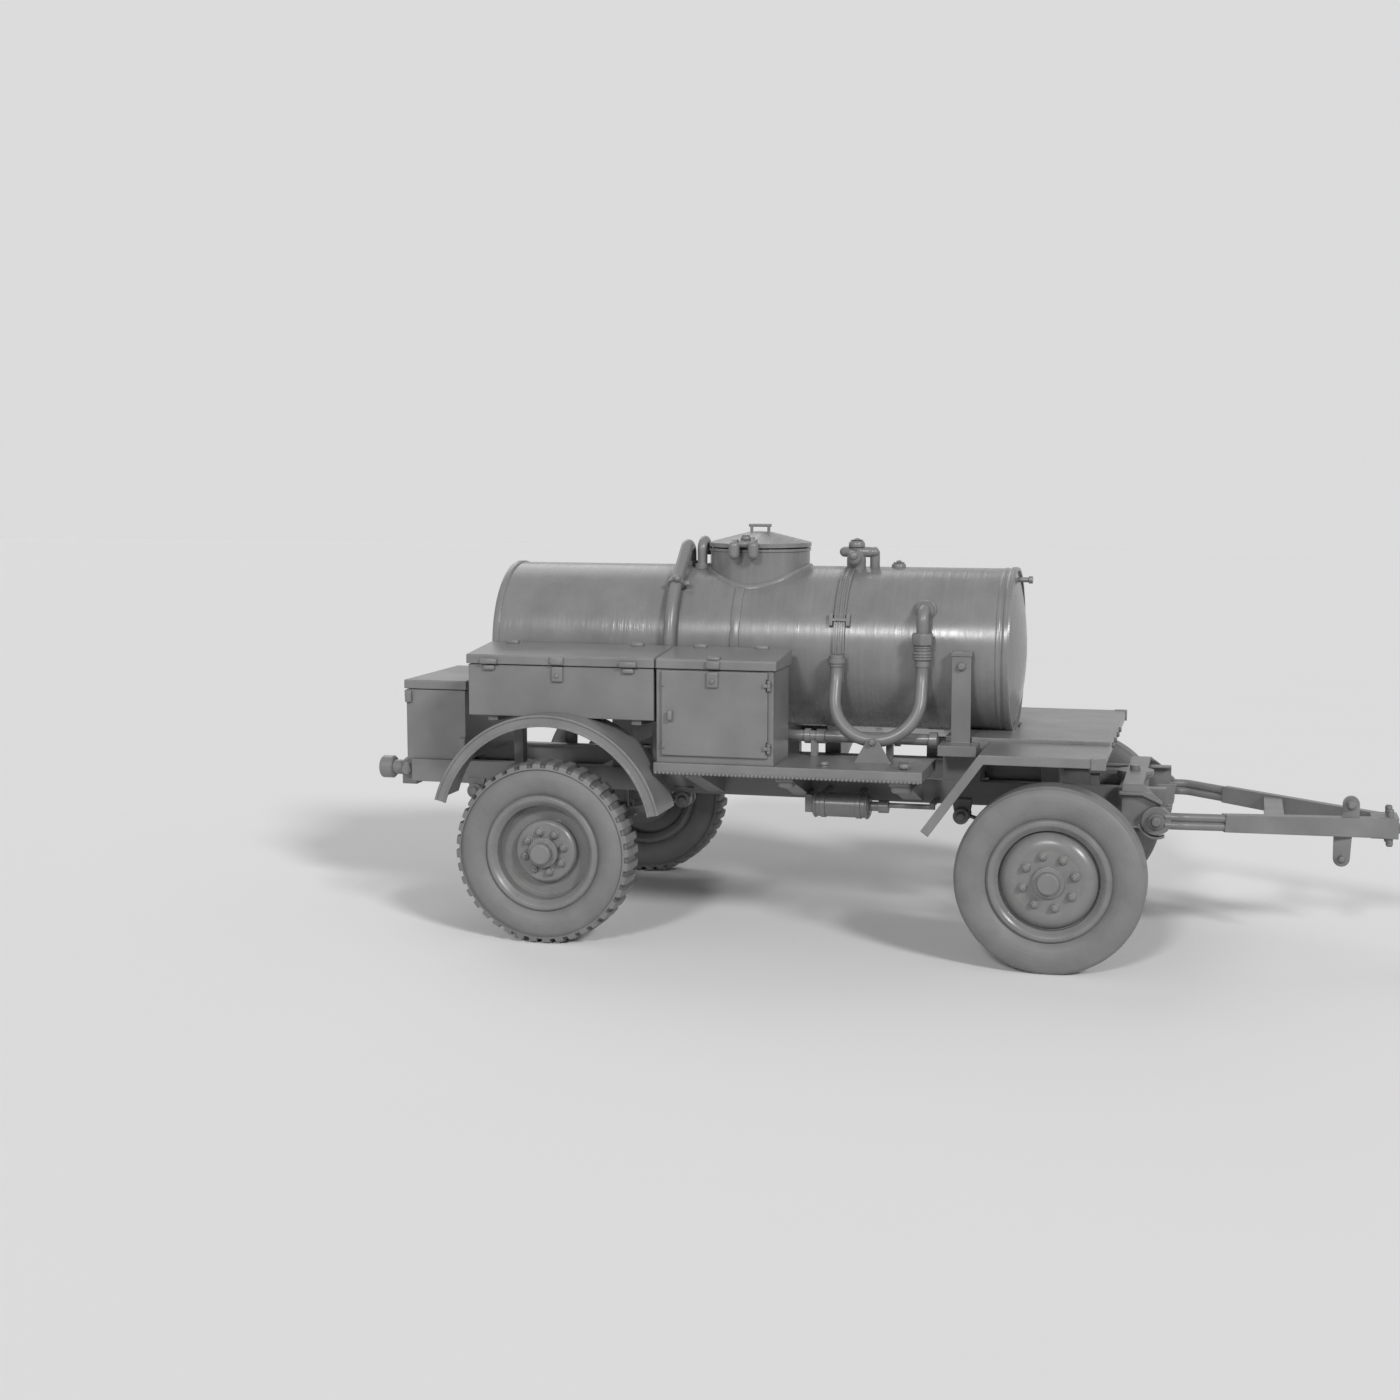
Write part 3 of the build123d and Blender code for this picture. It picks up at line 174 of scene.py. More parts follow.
class Graph:
    """A material under construction, with the node steps that the finishes share."""

    NOISE_ROUGHNESS = 0.55
    BEVEL_SAMPLES = 4
    EDGE_SPAN = (0.995, 0.80)
    COLOUR_SPAN = (0.3, 0.7)
    GLOSS_SPAN = (0.25, 0.75)

    def __init__(self, name: str) -> None:
        """Starts a material of that name."""
        self.material = bpy.data.materials.new(name)
        self.material.use_nodes = True
        self.nodes = self.material.node_tree.nodes
        self.links = self.material.node_tree.links
        self.shader = self.nodes["Principled BSDF"]
        self.place = self.nodes.new("ShaderNodeTexCoord").outputs["Object"]

    def add(self, kind: str, settings: dict, inputs: dict) -> bpy.types.Node:
        """Adds a node.

        Args:
            kind: Blender's name of the node type.
            settings: Attributes of the node.
            inputs: Values or outputs for its sockets, by socket name or number.

        Returns:
            The node.
        """
        node = self.nodes.new(kind)
        for name, value in settings.items():
            setattr(node, name, value)
        for name, value in inputs.items():
            if isinstance(value, Socket):
                self.links.new(value, node.inputs[name])
            else:
                node.inputs[name].default_value = value
        return node

    def noise(self, scale: float, detail: float, stretch: Point = (1, 1, 1)) -> Socket:
        """Adds noise on the object's own coordinates.

        Args:
            scale: Coarseness, in cells for each metre.
            detail: Octaves.
            stretch: Factors on the three axes.

        Returns:
            The noise value.
        """
        mapped = self.add("ShaderNodeMapping", {}, {"Vector": self.place, "Scale": stretch}).outputs[0]
        wanted = {"Vector": mapped, "Scale": scale, "Detail": detail, "Roughness": self.NOISE_ROUGHNESS}
        return self.add("ShaderNodeTexNoise", {}, wanted).outputs[0]

    def remap(self, value: Socket, before: Span, after: Span = UNIT) -> Socket:
        """Moves a value from one range to another.

        Args:
            value: The value.
            before: Its range.
            after: The range that it gets.

        Returns:
            The new value, held inside its range.
        """
        sockets = ("Value", "From Min", "From Max", "To Min", "To Max")
        wanted = dict(zip(sockets, (value, *before, *after)))
        return self.add("ShaderNodeMapRange", {"clamp": True}, wanted).outputs[0]

    def maths(self, operation: str, first: object, second: object) -> Socket:
        """Works out a sum of two values.

        Args:
            operation: Blender's name of the operation.
            first: First value or output.
            second: Second value or output.

        Returns:
            The result.
        """
        return self.add("ShaderNodeMath", {"operation": operation}, {0: first, 1: second}).outputs[0]

    times = partialmethod(maths, "MULTIPLY")
    plus = partialmethod(maths, "ADD")

    def tint(self, colour: object, mask: Socket, share: float, towards: Point) -> Socket:
        """Moves a colour towards another one where a mask is set.

        Args:
            colour: The colour or output.
            mask: The mask.
            share: How far it goes where the mask is 1.
            towards: The other colour.

        Returns:
            The new colour.
        """
        start = colour if isinstance(colour, Socket) else (*colour, 1)
        wanted = {0: self.times(mask, share), 6: start, 7: (*towards, 1)}
        return self.add("ShaderNodeMix", {"data_type": "RGBA"}, wanted).outputs[2]

    def mottle(self, patches: Socket, tone: float, low: float, high: float) -> Socket:
        """Varies a grey over patches of noise.

        Args:
            patches: The noise.
            tone: The grey's brightness.
            low: Factor on it in the darkest patches.
            high: Factor on it in the palest patches.

        Returns:
            The colour.
        """
        palest = self.remap(patches, self.COLOUR_SPAN)
        return self.tint(grey(tone * low), palest, share=1, towards=grey(tone * high))

    def gloss(self, patches: Socket, roughness: float, less: float, more: float) -> Socket:
        """Varies a roughness over patches of noise.

        Args:
            patches: The noise.
            roughness: The roughness.
            less: What is taken off in the smoothest patches.
            more: What is added in the roughest patches.

        Returns:
            The roughness.
        """
        return self.remap(patches, self.GLOSS_SPAN, (roughness - less, roughness + more))

    def edges(self, radius: float) -> tuple[Socket, Socket]:
        """Softens the look of sharp edges.

        Args:
            radius: Radius of the softened edge in metres.

        Returns:
            The softened normal, and a mask that is 1 along the edges.
        """
        soft = self.add("ShaderNodeBevel", {"samples": self.BEVEL_SAMPLES}, {"Radius": radius}).outputs[0]
        true = self.nodes.new("ShaderNodeNewGeometry").outputs["Normal"]
        same = self.add("ShaderNodeVectorMath", {"operation": "DOT_PRODUCT"}, {0: soft, 1: true})
        return soft, self.remap(same.outputs["Value"], self.EDGE_SPAN)

    def relief(self, height: Socket, strength: float, depth: float, under: Socket) -> Socket:
        """Adds relief.

        Args:
            height: Height of the relief.
            strength: How strongly it shows.
            depth: Its depth in metres.
            under: Normal under the relief.

        Returns:
            The new normal.
        """
        wanted = {"Height": height, "Strength": strength, "Distance": depth, "Normal": under}
        return self.add("ShaderNodeBump", {}, wanted).outputs[0]

    def finish(self, colour: Socket, roughness: Socket, normal: Socket) -> Material:
        """Joins the outputs to the shader.

        Args:
            colour: Base colour.
            roughness: Roughness.
            normal: Normal.

        Returns:
            The finished material.
        """
        self.links.new(colour, self.shader.inputs["Base Color"])
        self.links.new(roughness, self.shader.inputs["Roughness"])
        self.links.new(normal, self.shader.inputs["Normal"])
        return self.material


@dataclass(frozen=True)
class SatinPaint:
    """Grey satin paint with mottling, brushed streaks, edges painted paler as chipped wear and painted
    highlight, and dust low down.
    """

    name: str
    tone: float
    roughness: float
    mottle: float = 0.10
    streaks: float = 0.0
    # Share of the paler edges, which are partly chipped wear and partly a painted edge highlight.
    wear: float = 0.5
    dust: float = 0.12
    edge: float = 0.004

    GRAIN_HEIGHT = 0.35
    STREAK_TONE, STREAK_GLOSS = 1.5, -0.10
    # Tone of the paler edges: chipped wear and a painted edge highlight.
    CHIP_TONE = 1.75
    DUST_COLOUR, DUST_ROUGHNESS = (0.22, 0.215, 0.205), 0.15
    SPECULAR = 0.45

    def make(self) -> Material:
        """Builds the material.

        Returns:
            The paint.
        """
        g = Graph(self.name)
        soft, edge_mask = g.edges(self.edge)
        patches = g.noise(scale=5.0, detail=4)
        colour = g.mottle(patches, self.tone, low=1 - self.mottle, high=1 + self.mottle)
        roughness = g.gloss(patches, self.roughness, less=0.07, more=0.09)
        height = g.times(g.noise(scale=140.0, detail=3), self.GRAIN_HEIGHT)
        if self.streaks:
            lines = g.remap(g.noise(scale=1.0, detail=5, stretch=(46, 2.4, 2.4)), before=(0.42, 0.68))
            strips = g.noise(scale=1.0, detail=2, stretch=(2.2, 3.0, 3.0))
            strips = g.remap(strips, before=(0.35, 0.7), after=(0.2, 1))
            drawn = g.times(g.times(lines, strips), self.streaks)
            height = g.plus(height, drawn)
            roughness = g.plus(roughness, g.times(drawn, self.STREAK_GLOSS))
            colour = g.tint(colour, drawn, share=0.22, towards=grey(self.tone * self.STREAK_TONE))
        # Edges are painted paler: a painted edge highlight, broken up by chip noise as wear.
        chips = g.remap(g.noise(scale=38.0, detail=4), before=(0.40, 0.62), after=(0.15, 1))
        chipped_and_highlit_edges = g.times(edge_mask, chips)
        colour = g.tint(colour, chipped_and_highlit_edges, share=self.wear, towards=grey(self.tone * self.CHIP_TONE))
        over_ground = g.add("ShaderNodeSeparateXYZ", {}, {0: g.place}).outputs[2]
        low_down = g.remap(over_ground, before=(1.1, 0.25))
        settled = g.times(low_down, g.remap(g.noise(scale=9.0, detail=5), before=(0.42, 0.7)))
        colour = g.tint(colour, settled, share=self.dust, towards=self.DUST_COLOUR)
        roughness = g.plus(roughness, g.times(settled, self.DUST_ROUGHNESS))
        normal = g.relief(height, strength=0.35, depth=0.0012, under=soft)
        g.shader.inputs["Specular IOR Level"].default_value = self.SPECULAR
        return g.finish(colour, roughness, normal)


@dataclass(frozen=True)
class TyreRubber:
    """Dull grey rubber with faint moulded rings round the wheel's centre, and grooves on a plain crown."""

    name: str
    axle: Span
    grooves: bool
    tone: float = 0.17
    roughness: float = 0.52

    RING_PITCH, RING_HEIGHT = 0.021, 0.45
    GROOVE_PITCH, GROOVE_DEPTH = 0.026, 1.6
    GRAIN_HEIGHT = 0.30
    WORN_TONE = 1.5
    DUST_COLOUR = (0.20, 0.195, 0.185)
    SPECULAR = 0.40

    def make(self) -> Material:
        """Builds the material.

        Returns:
            The rubber.
        """
        g = Graph(self.name)
        soft, edge_mask = g.edges(radius=0.004)
        from_hub = {0: g.place, 1: row(self.axle[0], 0, self.axle[1])}
        shifted = g.add("ShaderNodeVectorMath", {"operation": "SUBTRACT"}, from_hub).outputs[0]
        across = g.add("ShaderNodeSeparateXYZ", {}, {0: shifted})
        flat = g.add("ShaderNodeCombineXYZ", {}, {0: across.outputs[0], 2: across.outputs[2]}).outputs[0]
        radius = g.add("ShaderNodeVectorMath", {"operation": "LENGTH"}, {0: flat}).outputs["Value"]
        rings = g.maths("SINE", g.times(radius, 2 * math.pi / self.RING_PITCH), 0)
        ridge = g.remap(rings, before=(0.80, 1.0))
        patches = g.noise(scale=7.0, detail=4)
        grain = g.noise(scale=220.0, detail=3)
        height = g.plus(g.times(grain, self.GRAIN_HEIGHT), g.times(ridge, self.RING_HEIGHT))
        if self.grooves:
            lines = g.maths("SINE", g.times(across.outputs[1], 2 * math.pi / self.GROOVE_PITCH), 0)
            crown = g.remap(radius, before=(0.440, 0.447))
            cut = g.times(g.remap(lines, before=(0.55, 0.80)), crown)
            height = g.maths("SUBTRACT", height, g.times(cut, self.GROOVE_DEPTH))
        colour = g.mottle(patches, self.tone, low=0.9, high=1.12)
        colour = g.tint(colour, edge_mask, share=0.25, towards=grey(self.tone * self.WORN_TONE))
        dusty = g.remap(g.noise(scale=14.0, detail=5), before=(0.45, 0.72))
        colour = g.tint(colour, dusty, share=0.16, towards=self.DUST_COLOUR)
        roughness = g.gloss(patches, self.roughness, less=0.07, more=0.08)
        normal = g.relief(height, strength=0.45, depth=0.0016, under=soft)
        g.shader.inputs["Specular IOR Level"].default_value = self.SPECULAR
        return g.finish(colour, roughness, normal)


@dataclass(frozen=True)
class HoseRubber:
    """Smooth hose rubber with fine ribs from its wrapping."""

    name: str
    tone: float = 0.18
    roughness: float = 0.32

    WRAP_HEIGHT = 0.6
    WORN_TONE = 1.6

    def make(self) -> Material:
        """Builds the material.

        Returns:
            The rubber.
        """
        g = Graph(self.name)
        soft, edge_mask = g.edges(radius=0.003)
        patches = g.noise(scale=11.0, detail=4)
        wrap = g.noise(scale=1.0, detail=2, stretch=(30, 30, 170))
        colour = g.mottle(patches, self.tone, low=0.9, high=1.1)
        colour = g.tint(colour, edge_mask, share=0.35, towards=grey(self.tone * self.WORN_TONE))
        roughness = g.gloss(patches, self.roughness, less=0.06, more=0.10)
        height = g.plus(g.times(wrap, self.WRAP_HEIGHT), g.noise(scale=200.0, detail=2))
        normal = g.relief(height, strength=0.18, depth=0.001, under=soft)
        return g.finish(colour, roughness, normal)


@dataclass(frozen=True)
class DullSteel:
    """Dull grey steel with drawn marks and stains of rust."""

    name: str
    tone: float = 0.18
    roughness: float = 0.42

    RUST_COLOUR, RUST_ROUGHNESS = (0.13, 0.105, 0.085), 0.175
    MARK_ROUGHNESS = 0.08
    PATCH_HEIGHT = 0.5
    WORN_TONE = 1.8
    METALLIC = 0.35

    def make(self) -> Material:
        """Builds the material.

        Returns:
            The steel.
        """
        g = Graph(self.name)
        soft, edge_mask = g.edges(radius=0.003)
        patches = g.noise(scale=16.0, detail=5)
        marks = g.noise(scale=1.0, detail=4, stretch=(25, 120, 120))
        colour = g.mottle(patches, self.tone, low=0.85, high=1.15)
        stained = g.remap(g.noise(scale=30.0, detail=5), before=(0.58, 0.74))
        colour = g.tint(colour, stained, share=0.35, towards=self.RUST_COLOUR)
        colour = g.tint(colour, edge_mask, share=0.6, towards=grey(self.tone * self.WORN_TONE))
        drawn = (self.roughness - self.MARK_ROUGHNESS, self.roughness + self.MARK_ROUGHNESS)
        roughness = g.plus(g.remap(marks, g.COLOUR_SPAN, drawn), g.times(stained, self.RUST_ROUGHNESS))
        height = g.plus(marks, g.times(patches, self.PATCH_HEIGHT))
        normal = g.relief(height, strength=0.25, depth=0.001, under=soft)
        g.shader.inputs["Metallic"].default_value = self.METALLIC
        return g.finish(colour, roughness, normal)


class Palette:
    """The trailer's finishes, one for each slot, and the tyres' two."""

    def __init__(self) -> None:
        """Builds every finish once."""
        finishes = (
            (Slot.TANK, SatinPaint("tank_satin_paint", tone=0.19, roughness=0.27, wear=0.35,
                                   streaks=1.3, dust=0.05)),
            (Slot.BOX, SatinPaint("box_satin_paint", tone=0.185, roughness=0.33, wear=0.6, edge=0.008)),
            (Slot.PANEL, SatinPaint("panel_satin_paint", tone=0.185, roughness=0.31, edge=0.009,
                                    wear=0.7, dust=0.2)),
            (Slot.FITTING, SatinPaint("fitting_satin_paint", tone=0.19, roughness=0.26, edge=0.005,
                                      mottle=0.07)),
            (Slot.HOSE, HoseRubber("delivery_hose_rubber")),
            (Slot.WHEEL, SatinPaint("wheel_satin_paint", tone=0.18, roughness=0.25, edge=0.006,
                                    mottle=0.12, dust=0.25)),
            (Slot.STEEL, DullSteel("dull_steel")),
            (Slot.CHASSIS, SatinPaint("chassis_satin_paint", tone=0.17, roughness=0.33, edge=0.007,
                                      mottle=0.14, dust=0.25)),
        )
        self.by_slot = {slot: finish.make() for slot, finish in finishes}
        self.rear_tyre = TyreRubber("rear_tyre_rubber", REAR_AXLE, grooves=False).make()
        self.front_tyre = TyreRubber("front_tyre_rubber", FRONT_AXLE, grooves=True).make()

    def of_node(self, node: str, slot: str) -> Material:
        """Finds the finish of a solid of the frame.

        Args:
            node: The solid's name.
            slot: Its slot in the record.

        Returns:
            The material.
        """
        if slot == Slot.TYRE.value:
            return self.rear_tyre if "rear" in node else self.front_tyre
        return self.by_slot[Slot(slot)]

    def dress_frame(self) -> None:
        """Gives every solid of the frame its finish."""
        for part in frame["record"]["subparts"]:
            solid = frame["nodes"][part["node"]]
            material = self.of_node(part["node"], part["material_slot"])
            if not solid.material_slots:
                solid.data.materials.append(material)
            for place in solid.material_slots:
                place.material = material
            LOG.info("%s wears %s", part["node"], material.name)


class Bench:
    """Modelling steps that the fittings share."""

    @staticmethod
    def clear() -> None:
        """Leaves nothing selected."""
        if bpy.context.object and bpy.context.object.mode != "OBJECT":
            bpy.ops.object.mode_set(mode="OBJECT")
        bpy.ops.object.select_all(action="DESELECT")

    @staticmethod
    def add(name: str, primitive: Callable, **measures: object) -> Piece:
        """Adds a primitive and puts its place into its mesh.

        Args:
            name: Name for the piece.
            primitive: Blender's operator for it.
            measures: What the operator takes.

        Returns:
            The piece.
        """
        Bench.clear()
        primitive(**measures)
        piece = bpy.context.active_object
        piece.name = name
        bpy.ops.object.transform_apply(location=True, rotation=True, scale=True)
        return piece

    @staticmethod
    def pick(piece: Piece, wanted: FaceTest = lambda centre, normal: normal.z > FACING_SHARE) -> None:
        """Selects faces by their place and normal, and stays in edit mode.

        Args:
            piece: The piece.
            wanted: Test on a face's centre and normal; if left out, the face has to look up.
        """
        bpy.ops.object.mode_set(mode="EDIT")
        bpy.ops.mesh.select_mode(type="FACE")
        bpy.ops.mesh.select_all(action="DESELECT")
        bpy.ops.object.mode_set(mode="OBJECT")
        for face in piece.data.polygons:
            face.select = wanted(face.center, face.normal)
        bpy.ops.object.mode_set(mode="EDIT")

    @staticmethod
    def step(inset: float, shift: Sequence[float]) -> None:
        """Insets the selected faces and moves what is left of them.

        Args:
            inset: Width of the inset in metres.
            shift: The move in metres.
        """
        bpy.ops.mesh.inset(thickness=inset)
        bpy.ops.transform.translate(value=shift)

    @staticmethod
    def soften(piece: Piece, width: float, segments: int = 2) -> None:
        """Rounds a piece's sharp edges, and merges points that this leaves on one spot.

        Args:
            piece: The piece.
            width: Width of the rounding in metres.
            segments: Faces across it.
        """
        bpy.ops.object.mode_set(mode="OBJECT")
        rounding = piece.modifiers.new("rounding", "BEVEL")
        rounding.width = width
        rounding.segments = segments
        rounding.limit_method = "ANGLE"
        bpy.context.view_layer.objects.active = piece
        bpy.ops.object.modifier_apply(modifier=rounding.name)
        bpy.ops.object.mode_set(mode="EDIT")
        bpy.ops.mesh.select_all(action="SELECT")
        bpy.ops.mesh.remove_doubles(threshold=SAME_SPOT)
        bpy.ops.object.mode_set(mode="OBJECT")

    @staticmethod
    def join(name: str, pieces: Sequence[Piece]) -> Piece:
        """Joins pieces into one.

        Args:
            name: Name for the joined piece.
            pieces: The pieces.

        Returns:
            The joined piece.
        """
        Bench.clear()
        for piece in pieces:
            piece.select_set(True)
        bpy.context.view_layer.objects.active = pieces[0]
        bpy.ops.object.join()
        pieces[0].name = name
        return pieces[0]

    @staticmethod
    def repeat(name: str, pattern: Piece, places: Iterable[Matrix], keep: bool = False) -> Piece:
        """Sets copies of a pattern at several places, as one piece.

        Args:
            name: Name for the piece.
            pattern: What is copied.
            places: A matrix for each copy.
            keep: Whether the pattern is needed again.

        Returns:
            The piece.
        """
        copies = []
        for place in places:
            copy = pattern.copy()
            copy.data = pattern.data.copy()
            copy.data.transform(place)
            if place.determinant() < 0:
                copy.data.flip_normals()
            bpy.context.collection.objects.link(copy)
            copies.append(copy)
        if not keep:
            bpy.data.objects.remove(pattern)
        return Bench.join(name, copies)


@dataclass
class Fitting(ABC):
    """A group of pieces that the scene adds to the solids."""

    palette: Palette

    @abstractmethod
    def build(self) -> None:
        """Models the pieces and sets them on their bodies."""

    def hand_over(self, piece: Piece, body: str, slot: Slot) -> None:
        """Finishes a piece and sets it on its body.

        Args:
            piece: The piece.
            body: Body that it moves with.
            slot: Slot of its finish.
        """
        Bench.clear()
        piece.select_set(True)
        bpy.context.view_layer.objects.active = piece
        bpy.ops.object.shade_smooth_by_angle(angle=SMOOTH_ANGLE)
        piece.data.name = piece.name
        piece.data.materials.clear()
        piece.data.materials.append(self.palette.by_slot[slot])
        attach(piece, body)
        LOG.info("%s rides on %s, %d faces", piece.name, body, len(piece.data.polygons))


@dataclass
class Fasteners:
    """Patterns of the nuts, in metres, and of the domed bolts, upright at the origin."""

    across: float = 0.034
    height: float = 0.020
    stud: float = 0.010
    dome_segments: int = 20

    CHAMFER_WIDTH, CHAMFER_RISE = 0.10, 0.12
    STUD_INSET, NUT_ROUNDING = 0.14, 0.05
    WASHER_REACH = 1.22
    DOME_STEPS = ((0.16, 0.0), (0.02, 0.22), (0.12, 0.20), (0.22, 0.14), (0.22, 0.05))

    def nut(self) -> Piece:
        """Models a hexagon nut on its washer with the end of its stud.

        Returns:
            The pattern.
        """
        corner = self.across / math.sqrt(3)
        nut = Bench.add("nut", DISC, vertices=6, radius=corner, depth=self.height,
                        location=(0, 0, self.height / 2))
        Bench.pick(nut)
        Bench.step(self.across * self.CHAMFER_WIDTH, (0, 0, self.height * self.CHAMFER_RISE))
        bpy.ops.mesh.inset(thickness=self.across * self.STUD_INSET)
        bpy.ops.mesh.extrude_region_move(TRANSFORM_OT_translate={"value": (0, 0, self.stud)})
        Bench.soften(nut, self.across * self.NUT_ROUNDING)
        washer = Bench.add("washer", DISC, vertices=20, radius=corner * self.WASHER_REACH, depth=0.004,
                           location=(0, 0, 0.002))
        Bench.pick(washer)
        Bench.step(inset=0.002, shift=(0, 0, 0.0015))
        bpy.ops.object.mode_set(mode="OBJECT")
        return Bench.join("nut", [nut, washer])

    def dome(self) -> Piece:
        """Models a domed bolt head of unit radius on a low collar.

        Returns:
            The pattern.
        """
        dome = Bench.add("dome", DISC, vertices=self.dome_segments, radius=1, depth=0.24,
                         location=(0, 0, 0.12))
        for inset, rise in self.DOME_STEPS:
            level = max(corner.co.z for corner in dome.data.vertices) - LEVEL_SLACK
            Bench.pick(dome, lambda centre, normal, level=level: centre.z > level)
            Bench.step(inset, (0, 0, rise))
            bpy.ops.object.mode_set(mode="OBJECT")
        Bench.soften(dome, width=0.05, segments=1)
        return dome


@dataclass
class WheelFittings(Fitting):
    """The ring of nuts on each wheel, in millimetres and degrees."""

    fasteners: Fasteners
    count: int = 8
    first: float = 14.0
    rear_circle: float = 103
    front_circle: float = 125
    rear_face: float = 964
    front_face: float = 1020

    def build(self) -> None:
        """Sets the nuts on the four wheels."""
        nut = self.fasteners.nut()
        ends = {
            "rear": (REAR_AXLE, self.rear_circle, self.rear_face),
            "front": (FRONT_AXLE, self.front_circle, self.front_face),
        }
        angles = [math.radians(self.first + step * 360 / self.count) for step in range(self.count)]
        for end, ((ahead, height), circle, face) in ends.items():
            for side in Side:
                places = []
                for angle in angles:
                    x, z = ahead + circle * math.cos(angle), height + circle * math.sin(angle)
                    spot = row(x, side.value * face, z)
                    places.append(Matrix.Translation(spot) @ aim(Facing.OUT.on(side)))
                nuts = Bench.repeat(f"wheel_nuts_{end}_{side.word}", nut, places, keep=True)
                self.hand_over(nuts, f"wheel_{end}_{side.word}", Slot.WHEEL)
        bpy.data.objects.remove(nut)


@dataclass(frozen=True)
class BoltSpot:
    """A domed bolt by its place and radius in millimetres; a paired one is also set on the left side."""

    x: float
    y: float
    z: float
    radius: float
    facing: Facing
    paired: bool = True

    def places(self) -> list[Matrix]:
        """Finds where the bolt goes.

        Returns:
            A matrix for the bolt on the right, and one for its twin on the left.
        """
        found = []
        for side in Side if self.paired else (Side.RIGHT,):
            spot = row(self.x, side.value * self.y, self.z)
            size = Matrix.Scale(metres(self.radius), 4)
            found.append(Matrix.Translation(spot) @ aim(self.facing.on(side)) @ size)
        return found


@dataclass
class Bolts(Fitting):
    """The domed bolts and pin caps, by the body that they ride on."""

    fasteners: Fasteners

    SPRINGS = ((REAR_AXLE[0], 575, 662), (FRONT_AXLE[0], 490, 640))
    DOOR_STUD = BoltSpot(847, 890, 1335, 13, Facing.OUT)

    def groups(self) -> dict[str, tuple[str, Slot, list[BoltSpot]]]:
        """Lists the bolts.

        Returns:
            Piece name to body, slot and bolts.
        """
        out, up, down, ahead = Facing.OUT, Facing.UP, Facing.DOWN, Facing.AHEAD
        hangers = [
            BoltSpot(axle + way * half, 446, eye, 24, out)
            for axle, half, eye in self.SPRINGS
            for way in (-1, 1)
        ]
        boards = [BoltSpot(1391, 800, 930, 22, up), BoltSpot(1787, 800, 930, 30, up)]
        deck = [BoltSpot(2750, 300, 1008, 14, ahead), BoltSpot(2750, 110, 1008, 14, ahead)]
        valve = [BoltSpot(1409, 50, 1966, 43, up, False), BoltSpot(1622, 0, 1854, 38, up, False)]
        pins = [BoltSpot(2980, 576, 680, 27, out), BoltSpot(2985, 528, 776, 11, up)]
        nose = [BoltSpot(4090, 60, 690, 18, up), BoltSpot(4090, 60, 534, 18, down)]
        tabs = [BoltSpot(3900, 166, 735, 21, out, False), BoltSpot(3862, 164, 462, 16, out, False)]
        return {
            "post_bolts": ("chassis", Slot.CHASSIS, [BoltSpot(2017, 478, 1400, 22, out)]),
            "board_stud_caps": ("chassis", Slot.PANEL, boards),
            "hose_bracket_pin_cap": ("chassis", Slot.FITTING, [BoltSpot(1603.5, 658, 1030, 17, out, False)]),
            "spring_pin_caps": ("chassis", Slot.CHASSIS, hangers),
            "deck_bolts": ("chassis", Slot.PANEL, deck),
            "locker_hasp_studs": ("chassis", Slot.BOX, [BoltSpot(40, 874, 1340, 13, out)]),
            "mudguard_studs": ("chassis", Slot.PANEL, [BoltSpot(-531, 985, 765, 13, out)]),
            "outlet_knob": ("chassis", Slot.FITTING, [BoltSpot(-1001, 326, 747, 36, out, False)]),
            "manhole_strap_knob": ("manhole_lid", Slot.TANK, [BoltSpot(866.5, 262, 2006, 27, up, False)]),
            "valve_knobs": ("chassis", Slot.FITTING, valve),
            "drawbar_pin_caps": ("carrier", Slot.CHASSIS, pins),
            "drawbar_bolts": ("drawbar", Slot.CHASSIS, nose + tabs),
        }

    def build(self) -> None:
        """Sets the bolts, then the studs of the two cabinet doors."""
        dome = self.fasteners.dome()
        for name, (body, slot, spots) in self.groups().items():
            places = [place for spot in spots for place in spot.places()]
            self.hand_over(Bench.repeat(name, dome, places, keep=True), body, slot)
        for side, place in zip(Side, self.DOOR_STUD.places()):
            stud = Bench.repeat(f"door_hasp_stud_{side.word}", dome, [place], keep=True)
            self.hand_over(stud, f"cabinet_door_{side.word}", Slot.BOX)
        bpy.data.objects.remove(dome)


@dataclass(frozen=True)
class Lobe:
    """A round-ended bar, by the centre of its first end, in millimetres."""

    x: float
    y: float
    z: float
    radius: float
    length: float
    facing: Facing


